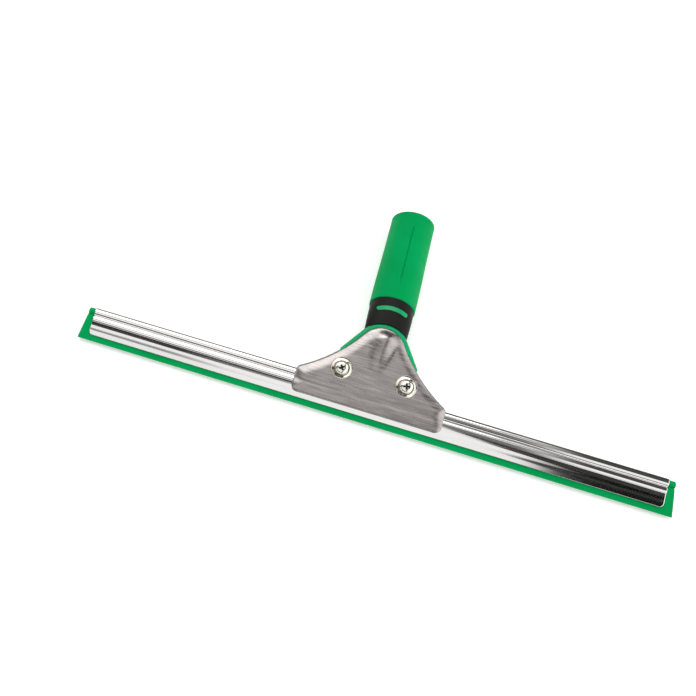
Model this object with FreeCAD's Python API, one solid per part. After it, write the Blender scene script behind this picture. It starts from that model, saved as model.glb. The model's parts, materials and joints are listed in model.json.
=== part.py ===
import FreeCAD, Part
import math
import os

from FreeCAD import Vector

# A window squeegee: a blade channel held in a two-plate screw clamp on a bent handle.
#
# Everything is drawn in the clamp's own frame, in millimetres:
#   X runs along the blade, Y from the blade's edge towards the handle, Z out of the front plate.
#   X = 0 is the middle, Y = 0 the top of the channel, Z = 0 the middle of the rubber.
# place_on_table() then turns the tool so that it lies on the handle's end and the clamp's
# back edge, and moves the origin under the middle of its bounding box.

# Channel and rubber
CHANNEL_LENGTH = 450.0
CHANNEL_SHEET = 0.8
TUBE_RADIUS = 3.7
NECK_HALF = 1.9
BAND_Y = -9.2
BAND_HALF = 3.0
LEG_TOP_Y = -11.5
LEG_TOP_HALF = 2.4
LIP_Y = -22.2
LIP_HALF = 2.6
LIP_CORNER_RADIUS = 3.4
BEAD_RADIUS = 2.55
RUBBER_NECK_HALF = 0.8
RUBBER_HALF = 1.3
RUBBER_SHOULDER_Y = -7.5
RUBBER_EDGE_Y = -27.0
RUBBER_OVERHANG = 5.0
RUBBER_END_SLANT_DEG = 6.0

# End clips: two cheeks and a pin through the rubber
CLIP_CHEEK_IN = 1.3
CLIP_CHEEK_OUT = 1.65
CLIP_TOP_Y = -8.3
CLIP_BOTTOM_Y = -10.4
CLIP_LENGTH = 12.0
CLIP_INSET = 4.0
CLIP_PIN_RADIUS = 0.6

# Clamp plates
PLATE_HALF_WIDTH = 58.5
PLATE_SHOULDER_Y = 0.6
PLATE_BOTTOM_Y = -18.1
PLATE_APEX_Y = 48.3
APEX_RADIUS = 18.5
FLANK_RADIUS = 122.0
UPPER_CORNER_RADIUS = 3.2
LOWER_CORNER_RADIUS = 5.0
CORNER_ZONE = 6.0
PLATE_RIM_Z = 4.4
PLATE_FACE_Z = 7.5
PLATE_SHEET = 1.2
PLATE_EDGE_FILLET = 2.5
BACK_PLATE_GROWTH = 1.4
VALLEY_Y = -8.6
VALLEY_DEPTH = 0.6
VALLEY_RADIUS = 8.0
LIP_RAIL_Z = 3.3
RAIL_OVERLAP = 0.5

# Rib pressed into the plate, from its apex to the screw line
RIB_TOP_Y = 44.0
RIB_FOOT_Y = 12.0
RIB_TOP_RADIUS = 10.5
RIB_FOOT_RADIUS = 6.0
RIB_HEIGHT = 2.4
RIB_END_INSET = 0.6

# Screws, washers and nuts (M5, pitch 0.8)
SCREW_X = 25.2
SCREW_Y = 8.7
SCREW_HEAD_RADIUS = 5.1
SCREW_HEAD_HEIGHT = 3.4
SCREW_SHANK_RADIUS = 2.45
SCREW_TIP_Z = -3.6
SCREW_HOLE_RADIUS = 2.85
SCREW_RECESS_WIDTH = 1.2
SCREW_RECESS_SPAN = 5.6
SCREW_RECESS_DEPTH = 1.8
WASHER_RADIUS = 4.6
WASHER_THICKNESS = 1.2
NUT_ACROSS_FLATS = 8.0
NUT_HEIGHT = 4.0
NUT_POCKET_GAP = 0.15
NUT_BORE_RADIUS = 2.5
DIMPLE_TOP_RADIUS = 8.0
DIMPLE_FLOOR_RADIUS = 6.2
DIMPLE_FLOOR_Z = 5.6
SCREW_HEAD_ROUNDING = 0.55
WASHER_BORE_GAP = 0.05
WASHER_SPLIT_HALF = 0.25

# Rivets that hold the back plate to the core
RIVET_YS = {"upper": 35.0, "lower": 17.0}
RIVET_RADIUS = 2.0
RIVET_HEAD_RADIUS = 4.0
RIVET_HEAD_HEIGHT = 1.6
RIVET_HEAD_ROUNDING = 0.9

# Jaw pads
PAD_HALF_LENGTH = 52.0
PAD_TOP_Y = 0.4
PAD_BOTTOM_Y = -6.4
PAD_INNER_Z = 2.9
PAD_GAP = 0.35

# Core flange, the edge seen between the plates
TRIM_PROUD = 3.2
TRIM_END_X = 30.6
TRIM_END_Y = 24.0
FLANGE_BOTTOM_Y = 1.4
FLANGE_INSET = 3.0

# Handle
BEND_DEG = 27.0
AXIS_START_Y = 42.5
RING_S = 28.0
END_S = 128.0
# Each section of the grip: distance along the axis, half width, half depth
SLEEVE_SECTIONS = (
    (RING_S, 18.4, 15.5),
    (50.0, 18.6, 15.6),
    (92.0, 18.4, 15.2),
    (120.0, 18.6, 14.7),
    (END_S, 18.8, 14.9),
)
CORE_HALF_WIDTH = 15.3
CORE_HALF_DEPTH = 12.4
CORE_TAPER_WIDTH = 0.6
CORE_TAPER_DEPTH = 0.4
CORE_END_INSET = 0.8
MOUTH_GAP = 0.25
MOUTH_PAST_END = 1.0
COLLAR_HALF_WIDTH = 17.6
COLLAR_HALF_DEPTH = 14.7
SLEEVE_END_FILLET = 2.0
GROOVE_START_S = 54.0
GROOVE_END_S = 115.0
GROOVE_HALF_WIDTH = 0.9
GROOVE_DEPTH = 0.9
GROOVE_REST_DEPTH = 0.6
SOCKET_RADIUS = 10.5
SOCKET_DEPTH = 50.0
SOCKET_LEAD_IN = 1.0
SOCKET_TIP_RADIUS = 7.0
SOCKET_TIP_DEPTH = 70.0

# Sections of the neck: Y, Z, tilt in degrees, half width, half depth, squareness
COLLAR_SECTIONS = ((41.0, -1.6, 0.0, 16.6, 7.0, 2.8), (52.0, -4.2, 10.0, 17.2, 9.6, 2.5))
CORE_NECK_SECTIONS = ((41.0, 0.0, 0.0, 14.0, 4.3, 3.0), (52.0, -4.2, 10.0, 14.8, 7.0, 2.5))

# Inlay on the collar
INLAY_FOOT_Z = -2.0
INLAY_HALF_WIDTH = 10.6
INLAY_THICKNESS = 3.4
INLAY_RADIUS = 26.0
INLAY_TOP_Y = 66.5
INLAY_PROUD = 0.4
INLAY_SUNK = 0.8

SIDES = (("left", -1.0), ("right", 1.0))
CLEAR = 200.0
SECTION_POINTS = 24
TOUCH = 0.01
SHORTEST_WALL = 0.5

HANDLE_DIR = Vector(0.0, math.cos(math.radians(BEND_DEG)), -math.sin(math.radians(BEND_DEG)))
HANDLE_FRONT = Vector(0.0, math.sin(math.radians(BEND_DEG)), math.cos(math.radians(BEND_DEG)))
AXIS_START = Vector(0.0, AXIS_START_Y, 0.0)


def on_axis(distance):
    """Point on the handle's axis."""
    return AXIS_START + HANDLE_DIR * distance


def line(start, end):
    """Straight edge."""
    return Part.LineSegment(start, end).toShape()


def arc(start, middle, end):
    """Arc edge through three points."""
    return Part.Arc(start, middle, end).toShape()


def extrude(edges, vector):
    """Solid from a closed loop of edges."""
    return Part.Face(Part.Wire(Part.__sortEdges__(edges))).extrude(vector)


def polygon(points, vector):
    """Solid from straight-sided corner points."""
    return Part.Face(Part.makePolygon(points + points[:1])).extrude(vector)


def cylinder_z(radius, x, y, low, high):
    """Upright cylinder between two heights."""
    return Part.makeCylinder(radius, high - low, Vector(x, y, low))


def box(x_low, x_high, y_low, y_high, z_low, z_high):
    """Box from its limits."""
    return Part.makeBox(x_high - x_low, y_high - y_low, z_high - z_low, Vector(x_low, y_low, z_low))


def mirror_z(shape):
    """Copy mirrored from the front to the back."""
    return shape.mirror(Vector(0, 0, 0), Vector(0, 0, 1))


# ---------------------------------------------------------------- channel and rubber

def channel_half_edges(sign, inner):
    """Edges of one wall of the channel, from the lip up to the tube's neck."""
    sheet = CHANNEL_SHEET if inner else 0.0
    radius = TUBE_RADIUS - sheet
    neck_half = NECK_HALF - sheet
    neck_y = -TUBE_RADIUS - math.sqrt(radius ** 2 - neck_half ** 2)
    lip = Vector(0, LIP_Y, sign * (LIP_HALF - sheet))
    leg_top = Vector(0, LEG_TOP_Y, sign * (LEG_TOP_HALF - sheet))
    band = Vector(0, BAND_Y, sign * (BAND_HALF - sheet))
    neck = Vector(0, neck_y, sign * neck_half)
    return [line(lip, leg_top), arc(leg_top, band, neck)], lip, neck


def make_channel():
    """Rolled sheet: a round tube on top, a convex band and a flat leg on each side."""
    edges = []
    lips = {}
    for inner in (False, True):
        necks = []
        for sign in (1.0, -1.0):
            wall, lip, neck = channel_half_edges(sign, inner)
            edges += wall
            lips[(sign, inner)] = lip
            necks.append(neck)
        top = Vector(0, -CHANNEL_SHEET if inner else 0.0, 0)
        edges.append(arc(necks[0], top, necks[1]))
    for sign in (1.0, -1.0):
        edges.append(line(lips[(sign, False)], lips[(sign, True)]))
    start = Vector(-CHANNEL_LENGTH / 2, 0, 0)
    for edge in edges:
        edge.translate(start)
    bar = extrude(edges, Vector(CHANNEL_LENGTH, 0, 0))
    return bar.cut(lip_corner(1.0)).cut(lip_corner(-1.0))


def lip_corner(sign):
    """Waste outside the rounded lower corner at one end of the channel."""
    end = sign * CHANNEL_LENGTH / 2
    radius = LIP_CORNER_RADIUS
    centre = Vector(end - sign * radius, LIP_Y + radius, -CLEAR)
    block = box(min(end, centre.x), max(end, centre.x), LIP_Y, centre.y, -CLEAR, CLEAR)
    return block.cut(Part.makeCylinder(radius, 2 * CLEAR, centre))


def make_rubber():
    """Blade with a round bead on top; both ends are cut on a slant, longest at the edge."""
    half_length = CHANNEL_LENGTH / 2 + RUBBER_OVERHANG
    slope = math.tan(math.radians(RUBBER_END_SLANT_DEG))
    reach = half_length - slope * RUBBER_EDGE_Y + 1.0
    start = Vector(-reach, 0, 0)
    bead = Part.makeCylinder(BEAD_RADIUS, 2 * reach, Vector(-reach, -TUBE_RADIUS, 0), Vector(1, 0, 0))
    neck = box(-reach, reach, RUBBER_SHOULDER_Y, -TUBE_RADIUS, -RUBBER_NECK_HALF, RUBBER_NECK_HALF)
    blade = box(-reach, reach, RUBBER_EDGE_Y, RUBBER_SHOULDER_Y, -RUBBER_HALF, RUBBER_HALF)
    rubber = bead.fuse([neck, blade]).removeSplitter()
    outline = []
    for x, y in ((-1, 1), (-1, -1), (1, -1), (1, 1)):
        edge_y = 1.0 if y > 0 else RUBBER_EDGE_Y - 1.0
        outline.append(Vector(x * (half_length - slope * edge_y), edge_y, -CLEAR))
    rubber = rubber.common(polygon(outline, Vector(0, 0, 2 * CLEAR)))
    for _, sign in SIDES:
        rubber = rubber.cut(clip_pin(sign, RUBBER_HALF + 1.0))
    return rubber


def clip_pin(sign, half_length):
    """Pin of an end clip, across the rubber."""
    x = sign * (CHANNEL_LENGTH / 2 - CLIP_INSET - CLIP_LENGTH / 2)
    y = (CLIP_TOP_Y + CLIP_BOTTOM_Y) / 2
    return cylinder_z(CLIP_PIN_RADIUS, x, y, -half_length, half_length)


def make_end_clip(sign):
    """Two cheeks beside the rubber, joined by a pin through it."""
    outer = CHANNEL_LENGTH / 2 - CLIP_INSET
    inner = outer - CLIP_LENGTH
    low, high = sorted((sign * inner, sign * outer))
    cheek = box(low, high, CLIP_BOTTOM_Y, CLIP_TOP_Y, CLIP_CHEEK_IN, CLIP_CHEEK_OUT)
    return clip_pin(sign, CLIP_CHEEK_IN).fuse([cheek, mirror_z(cheek)]).removeSplitter()


# ---------------------------------------------------------------- clamp plates

def flank_centre(apex_radius, flank_radius, apex_centre, corner):
    """Centre of the hollow flank: it touches the apex arc and passes through the corner."""
    first = apex_radius + flank_radius
    second = flank_radius
    gap = corner - apex_centre
    distance = gap.Length
    along = (first ** 2 - second ** 2 + distance ** 2) / (2 * distance)
    across = math.sqrt(first ** 2 - along ** 2)
    direction = gap.normalize()
    return apex_centre + direction * along + Vector(-direction.y, direction.x, 0) * across


def plate_outline(growth, inset, z):
    """Closed outline of a clamp plate; growth widens the apex and flanks, inset shrinks all sides."""
    margin = growth - inset
    apex_radius = APEX_RADIUS + margin
    flank_radius = FLANK_RADIUS - margin
    apex_centre = Vector(0, PLATE_APEX_Y - APEX_RADIUS, z)
    nominal_corner = Vector(PLATE_HALF_WIDTH, PLATE_SHOULDER_Y, z)
    centre = flank_centre(APEX_RADIUS, FLANK_RADIUS, apex_centre, nominal_corner)
    touch = apex_centre + (centre - apex_centre).normalize() * apex_radius
    side = PLATE_HALF_WIDTH - inset
    bottom_y = PLATE_BOTTOM_Y + inset
    corner = Vector(side, centre.y - math.sqrt(flank_radius ** 2 - (centre.x - side) ** 2), z)
    middle = centre + ((touch + corner) * 0.5 - centre).normalize() * flank_radius
    edges = [arc(mirrored(touch), Vector(0, apex_centre.y + apex_radius, z), touch)]
    edges += [arc(touch, middle, corner), arc(mirrored(touch), mirrored(middle), mirrored(corner))]
    foot = Vector(side, bottom_y, z)
    edges += [line(corner, foot), line(mirrored(corner), mirrored(foot)), line(foot, mirrored(foot))]
    return edges


def mirrored(point):
    """Point on the other side of the tool's middle plane."""
    return Vector(-point.x, point.y, point.z)


def plate_blank(growth, inset, low, high):
    """Prism of the plate's outline with its corners rounded."""
    prism = extrude(plate_outline(growth, inset, low), Vector(0, 0, high - low))
    for radius, rounded in ((UPPER_CORNER_RADIUS, is_shoulder), (LOWER_CORNER_RADIUS, is_foot)):
        corners = [edge for edge in upright_edges(prism) if rounded(edge)]
        prism = prism.makeFillet(radius - inset, corners)
    return prism


def is_shoulder(edge):
    """True for an upright edge at one of the two upper corners."""
    centre = edge.CenterOfMass
    return abs(centre.x) > PLATE_HALF_WIDTH - CORNER_ZONE and centre.y > PLATE_BOTTOM_Y / 2


def is_foot(edge):
    """True for an upright edge at one of the two bottom corners."""
    centre = edge.CenterOfMass
    return abs(centre.x) > PLATE_HALF_WIDTH - CORNER_ZONE and centre.y < PLATE_BOTTOM_Y + CORNER_ZONE


def upright_edges(solid):
    """Edges parallel to Z."""
    found = []
    for edge in solid.Edges:
        extent = edge.BoundBox
        if extent.ZLength > SHORTEST_WALL and extent.XLength < TOUCH and extent.YLength < TOUCH:
            found.append(edge)
    return found


def top_edges(solid, z):
    """Edges that lie in the plane at height z."""
    found = []
    for edge in solid.Edges:
        if abs(edge.BoundBox.ZMin - z) < TOUCH and abs(edge.BoundBox.ZMax - z) < TOUCH:
            found.append(edge)
    return found


def pressed_plate(growth):
    """Hollow pressed dish with a rolled edge and a valley along the jaw."""
    outer = plate_blank(growth, 0.0, PLATE_RIM_Z, PLATE_FACE_Z)
    outer = outer.makeFillet(PLATE_EDGE_FILLET, top_edges(outer, PLATE_FACE_Z))
    inner_top = PLATE_FACE_Z - PLATE_SHEET
    inner = plate_blank(growth, PLATE_SHEET, PLATE_RIM_Z - 1.0, inner_top)
    inner = inner.makeFillet(PLATE_EDGE_FILLET - PLATE_SHEET, top_edges(inner, inner_top))
    dish = outer.cut(inner)
    rail = box(-PLATE_HALF_WIDTH + LOWER_CORNER_RADIUS, PLATE_HALF_WIDTH - LOWER_CORNER_RADIUS,
               PLATE_BOTTOM_Y, PLATE_BOTTOM_Y + PLATE_SHEET, LIP_RAIL_Z, PLATE_RIM_Z + RAIL_OVERLAP)
    dish = dish.fuse(rail)
    return press_valley(dish)


def press_valley(dish):
    """Shallow groove along X that nips the channel below its tube."""
    axis_z = PLATE_FACE_Z - VALLEY_DEPTH + VALLEY_RADIUS
    start = Vector(-CLEAR, VALLEY_Y, axis_z)
    groove = Part.makeCylinder(VALLEY_RADIUS, 2 * CLEAR, start, Vector(1, 0, 0))
    return dish.cut(groove)


def rib_body(extra):
    """Cone lying along Y whose upper side makes the pressed rib."""
    length = RIB_TOP_Y - RIB_FOOT_Y
    foot_sink = RIB_FOOT_RADIUS
    top_sink = RIB_TOP_RADIUS - RIB_HEIGHT
    start = Vector(0, RIB_FOOT_Y, PLATE_FACE_Z - foot_sink)
    axis = Vector(0, length, foot_sink - top_sink)
    cone = Part.makeCone(RIB_FOOT_RADIUS - extra, RIB_TOP_RADIUS - extra, axis.Length, start, axis)
    nose = Part.makeSphere(RIB_TOP_RADIUS - extra, start + axis)
    return cone.fuse(nose)


def add_rib(plate):
    """Press the half-round rib outwards."""
    shell = rib_body(0.0).cut(rib_body(PLATE_SHEET))
    above = box(-CLEAR, CLEAR, -CLEAR, PLATE_APEX_Y - RIB_END_INSET, PLATE_FACE_Z - PLATE_SHEET, CLEAR)
    inside = rib_body(PLATE_SHEET)
    return plate.fuse(shell.common(above)).cut(inside.common(above)).removeSplitter()


def add_dimple(plate, x):
    """Press one conical screw dimple inwards."""
    depth = PLATE_FACE_Z - DIMPLE_FLOOR_Z
    foot = Vector(x, SCREW_Y, DIMPLE_FLOOR_Z)
    hollow = Part.makeCone(DIMPLE_FLOOR_RADIUS, DIMPLE_TOP_RADIUS, depth, foot)
    cup_foot = Vector(x, SCREW_Y, PLATE_RIM_Z)
    cup_height = PLATE_FACE_Z - PLATE_RIM_Z
    flare = (DIMPLE_TOP_RADIUS - DIMPLE_FLOOR_RADIUS) / depth
    cup_low = DIMPLE_FLOOR_RADIUS + PLATE_SHEET - flare * (DIMPLE_FLOOR_Z - PLATE_RIM_Z)
    cup_high = cup_low + flare * cup_height
    cup = Part.makeCone(cup_low, cup_high, cup_height, cup_foot)
    hole = cylinder_z(SCREW_HOLE_RADIUS, x, SCREW_Y, 0.0, PLATE_FACE_Z)
    return plate.fuse(cup).cut(hollow).cut(hole)


def make_front_plate():
    """Front plate: dish, rib and two screw dimples."""
    plate = add_rib(pressed_plate(0.0))
    for _, sign in SIDES:
        plate = add_dimple(plate, sign * SCREW_X)
    return plate


def make_back_plate():
    """Back plate: a dish a little larger than the front one, with four holes."""
    plate = mirror_z(pressed_plate(BACK_PLATE_GROWTH))
    for y in RIVET_YS.values():
        foot = cylinder_z(RIVET_HEAD_RADIUS, 0, y, -PLATE_FACE_Z, -PLATE_RIM_Z)
        plate = plate.fuse(foot).cut(cylinder_z(RIVET_RADIUS, 0, y, -CLEAR, 0))
    for _, sign in SIDES:
        plate = plate.cut(cylinder_z(SCREW_HOLE_RADIUS, sign * SCREW_X, SCREW_Y, -CLEAR, 0))
    return plate


def make_jaw_pad():
    """Front rubber liner: it fills the jaw and is hollowed to the tube's shape."""
    inner_face = PLATE_FACE_Z - PLATE_SHEET
    pad = box(-PAD_HALF_LENGTH, PAD_HALF_LENGTH, PAD_BOTTOM_Y, PAD_TOP_Y, PAD_INNER_Z, inner_face)
    start = Vector(-CLEAR, -TUBE_RADIUS, 0)
    room = Part.makeCylinder(TUBE_RADIUS + PAD_GAP, 2 * CLEAR, start, Vector(1, 0, 0))
    groove_z = PLATE_FACE_Z - VALLEY_DEPTH - PLATE_SHEET + VALLEY_RADIUS
    start = Vector(-CLEAR, VALLEY_Y, groove_z)
    groove = Part.makeCylinder(VALLEY_RADIUS + PLATE_SHEET, 2 * CLEAR, start, Vector(1, 0, 0))
    return pad.cut(room).cut(groove)


# ---------------------------------------------------------------- fasteners

def cross_recess(x, top):
    """Tapered cross for a screwdriver."""
    arms = []
    for length, width in ((SCREW_RECESS_SPAN, SCREW_RECESS_WIDTH), (SCREW_RECESS_WIDTH, SCREW_RECESS_SPAN)):
        base = Part.makePlane(length, width, Vector(x - length / 2, SCREW_Y - width / 2, top))
        arms.append(base.extrude(Vector(0, 0, -SCREW_RECESS_DEPTH)))
    return arms[0].fuse(arms[1])


def make_screw(sign):
    """Pan-head machine screw with a cross recess."""
    x = sign * SCREW_X
    seat = DIMPLE_FLOOR_Z + WASHER_THICKNESS
    top = seat + SCREW_HEAD_HEIGHT
    head = cylinder_z(SCREW_HEAD_RADIUS, x, SCREW_Y, seat, top)
    head = head.makeFillet(SCREW_HEAD_HEIGHT * SCREW_HEAD_ROUNDING, top_edges(head, top))
    shank = cylinder_z(SCREW_SHANK_RADIUS, x, SCREW_Y, SCREW_TIP_Z, seat)
    return head.fuse(shank).cut(cross_recess(x, top)).removeSplitter()


def make_lock_washer(sign):
    """Split spring washer under the screw head."""
    x = sign * SCREW_X
    top = DIMPLE_FLOOR_Z + WASHER_THICKNESS
    ring = cylinder_z(WASHER_RADIUS, x, SCREW_Y, DIMPLE_FLOOR_Z, top)
    ring = ring.cut(cylinder_z(SCREW_SHANK_RADIUS + WASHER_BORE_GAP, x, SCREW_Y, 0, CLEAR))
    slot = box(x, x + CLEAR, SCREW_Y - WASHER_SPLIT_HALF, SCREW_Y + WASHER_SPLIT_HALF, 0, CLEAR)
    return ring.cut(slot)


def hexagon(x, across_flats, low, high):
    """Hexagonal prism on a screw's axis."""
    radius = across_flats / math.sqrt(3.0)
    corners = []
    for step in range(6):
        angle = math.radians(60 * step)
        corners.append(Vector(x + radius * math.cos(angle), SCREW_Y + radius * math.sin(angle), low))
    return polygon(corners, Vector(0, 0, high - low))


def make_captive_nut(sign):
    """Hexagon nut that lies in the core's pocket, against the back plate's side."""
    x = sign * SCREW_X
    low = -PLATE_RIM_Z
    nut = hexagon(x, NUT_ACROSS_FLATS, low, low + NUT_HEIGHT)
    return nut.cut(cylinder_z(NUT_BORE_RADIUS, x, SCREW_Y, -CLEAR, CLEAR))


def make_rivet(y):
    """Rivet: countersunk in the core's front, domed head on the back plate."""
    shank = cylinder_z(RIVET_RADIUS, 0, y, -PLATE_FACE_Z, PLATE_RIM_Z)
    foot = Vector(0, y, PLATE_RIM_Z - RIVET_RADIUS)
    sunk = Part.makeCone(RIVET_RADIUS, 2 * RIVET_RADIUS, RIVET_RADIUS, foot)
    head = cylinder_z(RIVET_HEAD_RADIUS, 0, y, -PLATE_FACE_Z - RIVET_HEAD_HEIGHT, -PLATE_FACE_Z)
    rounding = RIVET_HEAD_HEIGHT * RIVET_HEAD_ROUNDING
    head = head.makeFillet(rounding, top_edges(head, -PLATE_FACE_Z - RIVET_HEAD_HEIGHT))
    return shank.fuse([sunk, head]).removeSplitter()


# ---------------------------------------------------------------- handle

def oval(centre, across, half_width, half_depth, power):
    """Closed rounded-oval wire; across is the direction of its depth."""
    points = []
    for step in range(SECTION_POINTS):
        angle = 2 * math.pi * step / SECTION_POINTS
        cosine = math.cos(angle)
        sine = math.sin(angle)
        x = half_width * math.copysign(abs(cosine) ** (2 / power), cosine)
        depth = half_depth * math.copysign(abs(sine) ** (2 / power), sine)
        points.append(centre + Vector(x, 0, 0) + across * depth)
    curve = Part.BSplineCurve()
    curve.interpolate(Points=points, PeriodicFlag=True)
    return Part.Wire(curve.toShape())


def handle_oval(distance, half_width, half_depth):
    """Section across the handle's axis."""
    return oval(on_axis(distance), HANDLE_FRONT, half_width, half_depth, 2.0)


def neck_loft(sections, ring_half_width, ring_half_depth):
    """Neck from between the plates to the ring where the grip starts."""
    wires = []
    for y, z, tilt, half_width, half_depth, power in sections:
        angle = math.radians(tilt)
        across = Vector(0, math.sin(angle), math.cos(angle))
        wires.append(oval(Vector(0, y, z), across, half_width, half_depth, power))
    wires.append(handle_oval(RING_S, ring_half_width, ring_half_depth))
    return Part.makeLoft(wires, True, False)


def collar_outside(margin):
    """Outer form of the collar, grown by a margin."""
    grown = []
    for y, z, tilt, half_width, half_depth, power in COLLAR_SECTIONS:
        grown.append((y, z, tilt, half_width + margin, half_depth + margin, power))
    return neck_loft(grown, COLLAR_HALF_WIDTH + margin, COLLAR_HALF_DEPTH + margin)


def core_neck():
    """Core inside the collar."""
    return neck_loft(CORE_NECK_SECTIONS, CORE_HALF_WIDTH, CORE_HALF_DEPTH)


def trim_outline(z):
    """Outline of the flange's visible edge: an arc over the apex and two straight flanks."""
    radius = APEX_RADIUS + TRIM_PROUD
    centre = Vector(0, PLATE_APEX_Y - APEX_RADIUS, z)
    end = Vector(TRIM_END_X, TRIM_END_Y, z)
    gap = end - centre
    angle = math.atan2(gap.y, gap.x) + math.acos(radius / gap.Length)
    touch = centre + Vector(math.cos(angle), math.sin(angle), 0) * radius
    edges = [arc(mirrored(touch), centre + Vector(0, radius, 0), touch)]
    edges += [line(touch, end), line(mirrored(touch), mirrored(end)), line(end, mirrored(end))]
    return edges


def flange_blank():
    """Flat tongue between the plates; its edge stands proud round the apex."""
    thickness = Vector(0, 0, 2 * PLATE_RIM_Z)
    tongue = extrude(plate_outline(0.0, FLANGE_INSET, -PLATE_RIM_Z), thickness)
    tongue = tongue.common(box(-CLEAR, CLEAR, FLANGE_BOTTOM_Y, CLEAR, -CLEAR, CLEAR))
    return tongue.fuse(extrude(trim_outline(-PLATE_RIM_Z), thickness)).removeSplitter()


def core_shaft():
    """Oval shaft under the grip, as far as its end."""
    start = handle_oval(RING_S, CORE_HALF_WIDTH, CORE_HALF_DEPTH)
    return Part.makeLoft([start, core_end_oval(END_S - CORE_END_INSET, 0.0)], True, True)


def core_end_oval(distance, gap):
    """Outline of the core's end, grown by a gap."""
    half_width = CORE_HALF_WIDTH - CORE_TAPER_WIDTH + gap
    return handle_oval(distance, half_width, CORE_HALF_DEPTH - CORE_TAPER_DEPTH + gap)


def socket_void():
    """Blind pole socket: lead-in, straight bore and a tapered tip."""
    last = END_S - CORE_END_INSET
    inward = HANDLE_DIR * -1.0
    bore = Part.makeCylinder(SOCKET_RADIUS, SOCKET_DEPTH, on_axis(last), inward)
    lead = Part.makeCone(SOCKET_RADIUS + SOCKET_LEAD_IN, SOCKET_RADIUS, SOCKET_LEAD_IN, on_axis(last), inward)
    tip_length = SOCKET_TIP_DEPTH - SOCKET_DEPTH
    tip = Part.makeCone(SOCKET_RADIUS, SOCKET_TIP_RADIUS, tip_length, on_axis(last - SOCKET_DEPTH), inward)
    return bore.fuse([lead, tip])


def back_plate_room():
    """Space behind the flange that the back plate's apex needs."""
    return extrude(plate_outline(BACK_PLATE_GROWTH, 0.0, -CLEAR), Vector(0, 0, CLEAR - PLATE_RIM_Z))


def make_core():
    """Hard core: flange, neck and shaft, with nut pockets, holes and the pole socket."""
    core = flange_blank().fuse([core_neck(), core_shaft()])
    core = core.cut(socket_void()).cut(back_plate_room())
    for _, sign in SIDES:
        x = sign * SCREW_X
        pocket_top = NUT_HEIGHT - PLATE_RIM_Z
        pocket = hexagon(x, NUT_ACROSS_FLATS + 2 * NUT_POCKET_GAP, -CLEAR, pocket_top)
        core = core.cut(pocket).cut(cylinder_z(SCREW_HOLE_RADIUS, x, SCREW_Y, -CLEAR, CLEAR))
    return core


def make_collar(core, plates):
    """Soft collar round the neck, notched for the flange and both plates."""
    collar = collar_outside(0.0)
    front = extrude(trim_outline(-PLATE_RIM_Z), Vector(0, 0, CLEAR))
    for waste in [front, back_plate_room(), core] + plates:
        collar = collar.cut(waste)
    return biggest(collar)


def biggest(shape):
    """The largest solid of a shape."""
    return max(shape.Solids, key=lambda solid: solid.Volume)


def inlay_prism():
    """Curved bar with round ends, seen from the front."""
    outer_radius = INLAY_RADIUS + INLAY_THICKNESS
    centre = Vector(0, INLAY_TOP_Y - outer_radius, INLAY_FOOT_Z)
    half_angle = math.asin(INLAY_HALF_WIDTH / (INLAY_RADIUS + INLAY_THICKNESS / 2))

    def at(radius, angle):
        return centre + Vector(radius * math.sin(angle), radius * math.cos(angle), 0)

    edges = [arc(at(outer_radius, -half_angle), at(outer_radius, 0), at(outer_radius, half_angle))]
    edges.append(arc(at(INLAY_RADIUS, -half_angle), at(INLAY_RADIUS, 0), at(INLAY_RADIUS, half_angle)))
    for sign in (1.0, -1.0):
        end_angle = sign * (half_angle + INLAY_THICKNESS / 2 / (INLAY_RADIUS + INLAY_THICKNESS / 2))
        middle = at(INLAY_RADIUS + INLAY_THICKNESS / 2, end_angle)
        edges.append(arc(at(outer_radius, sign * half_angle), middle, at(INLAY_RADIUS, sign * half_angle)))
    return extrude(edges, Vector(0, 0, CLEAR))


def make_inlay():
    """Bar that stands a little proud of the collar and is let into it."""
    bar = inlay_prism().common(collar_outside(INLAY_PROUD))
    return biggest(bar.cut(collar_outside(-INLAY_SUNK)))


def make_sleeve(core):
    """Soft grip: an oval sleeve with a round end and one thin groove."""
    wires = [handle_oval(*section) for section in SLEEVE_SECTIONS]
    sleeve = Part.makeLoft(wires, True, False)
    end_point = on_axis(END_S)
    rim = [edge for edge in sleeve.Edges if abs((edge.CenterOfMass - end_point).dot(HANDLE_DIR)) < TOUCH]
    sleeve = sleeve.makeFillet(SLEEVE_END_FILLET, rim)
    mouth_reach = (END_S - CORE_END_INSET, END_S + MOUTH_PAST_END)
    mouth_ovals = [core_end_oval(distance, MOUTH_GAP) for distance in mouth_reach]
    mouth = Part.makeLoft(mouth_ovals, True, True)
    return sleeve.cut(core_shaft()).cut(mouth).cut(sleeve_groove()).cut(core)


def sleeve_groove():
    """Slender wedge along the front crest."""
    crest = max(section[2] for section in SLEEVE_SECTIONS)
    top = on_axis(GROOVE_END_S) + HANDLE_FRONT * crest
    foot = on_axis(GROOVE_START_S) + HANDLE_FRONT * (crest + GROOVE_DEPTH * 0.5)
    wide = GROOVE_HALF_WIDTH
    face = Part.Face(Part.makePolygon([
        top + Vector(-wide, 0, 0) + HANDLE_FRONT,
        top + Vector(wide, 0, 0) + HANDLE_FRONT,
        top - HANDLE_FRONT * (GROOVE_DEPTH + GROOVE_REST_DEPTH),
        top + Vector(-wide, 0, 0) + HANDLE_FRONT,
    ]))
    return face.extrude(foot - top)


# ---------------------------------------------------------------- assembly

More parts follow.
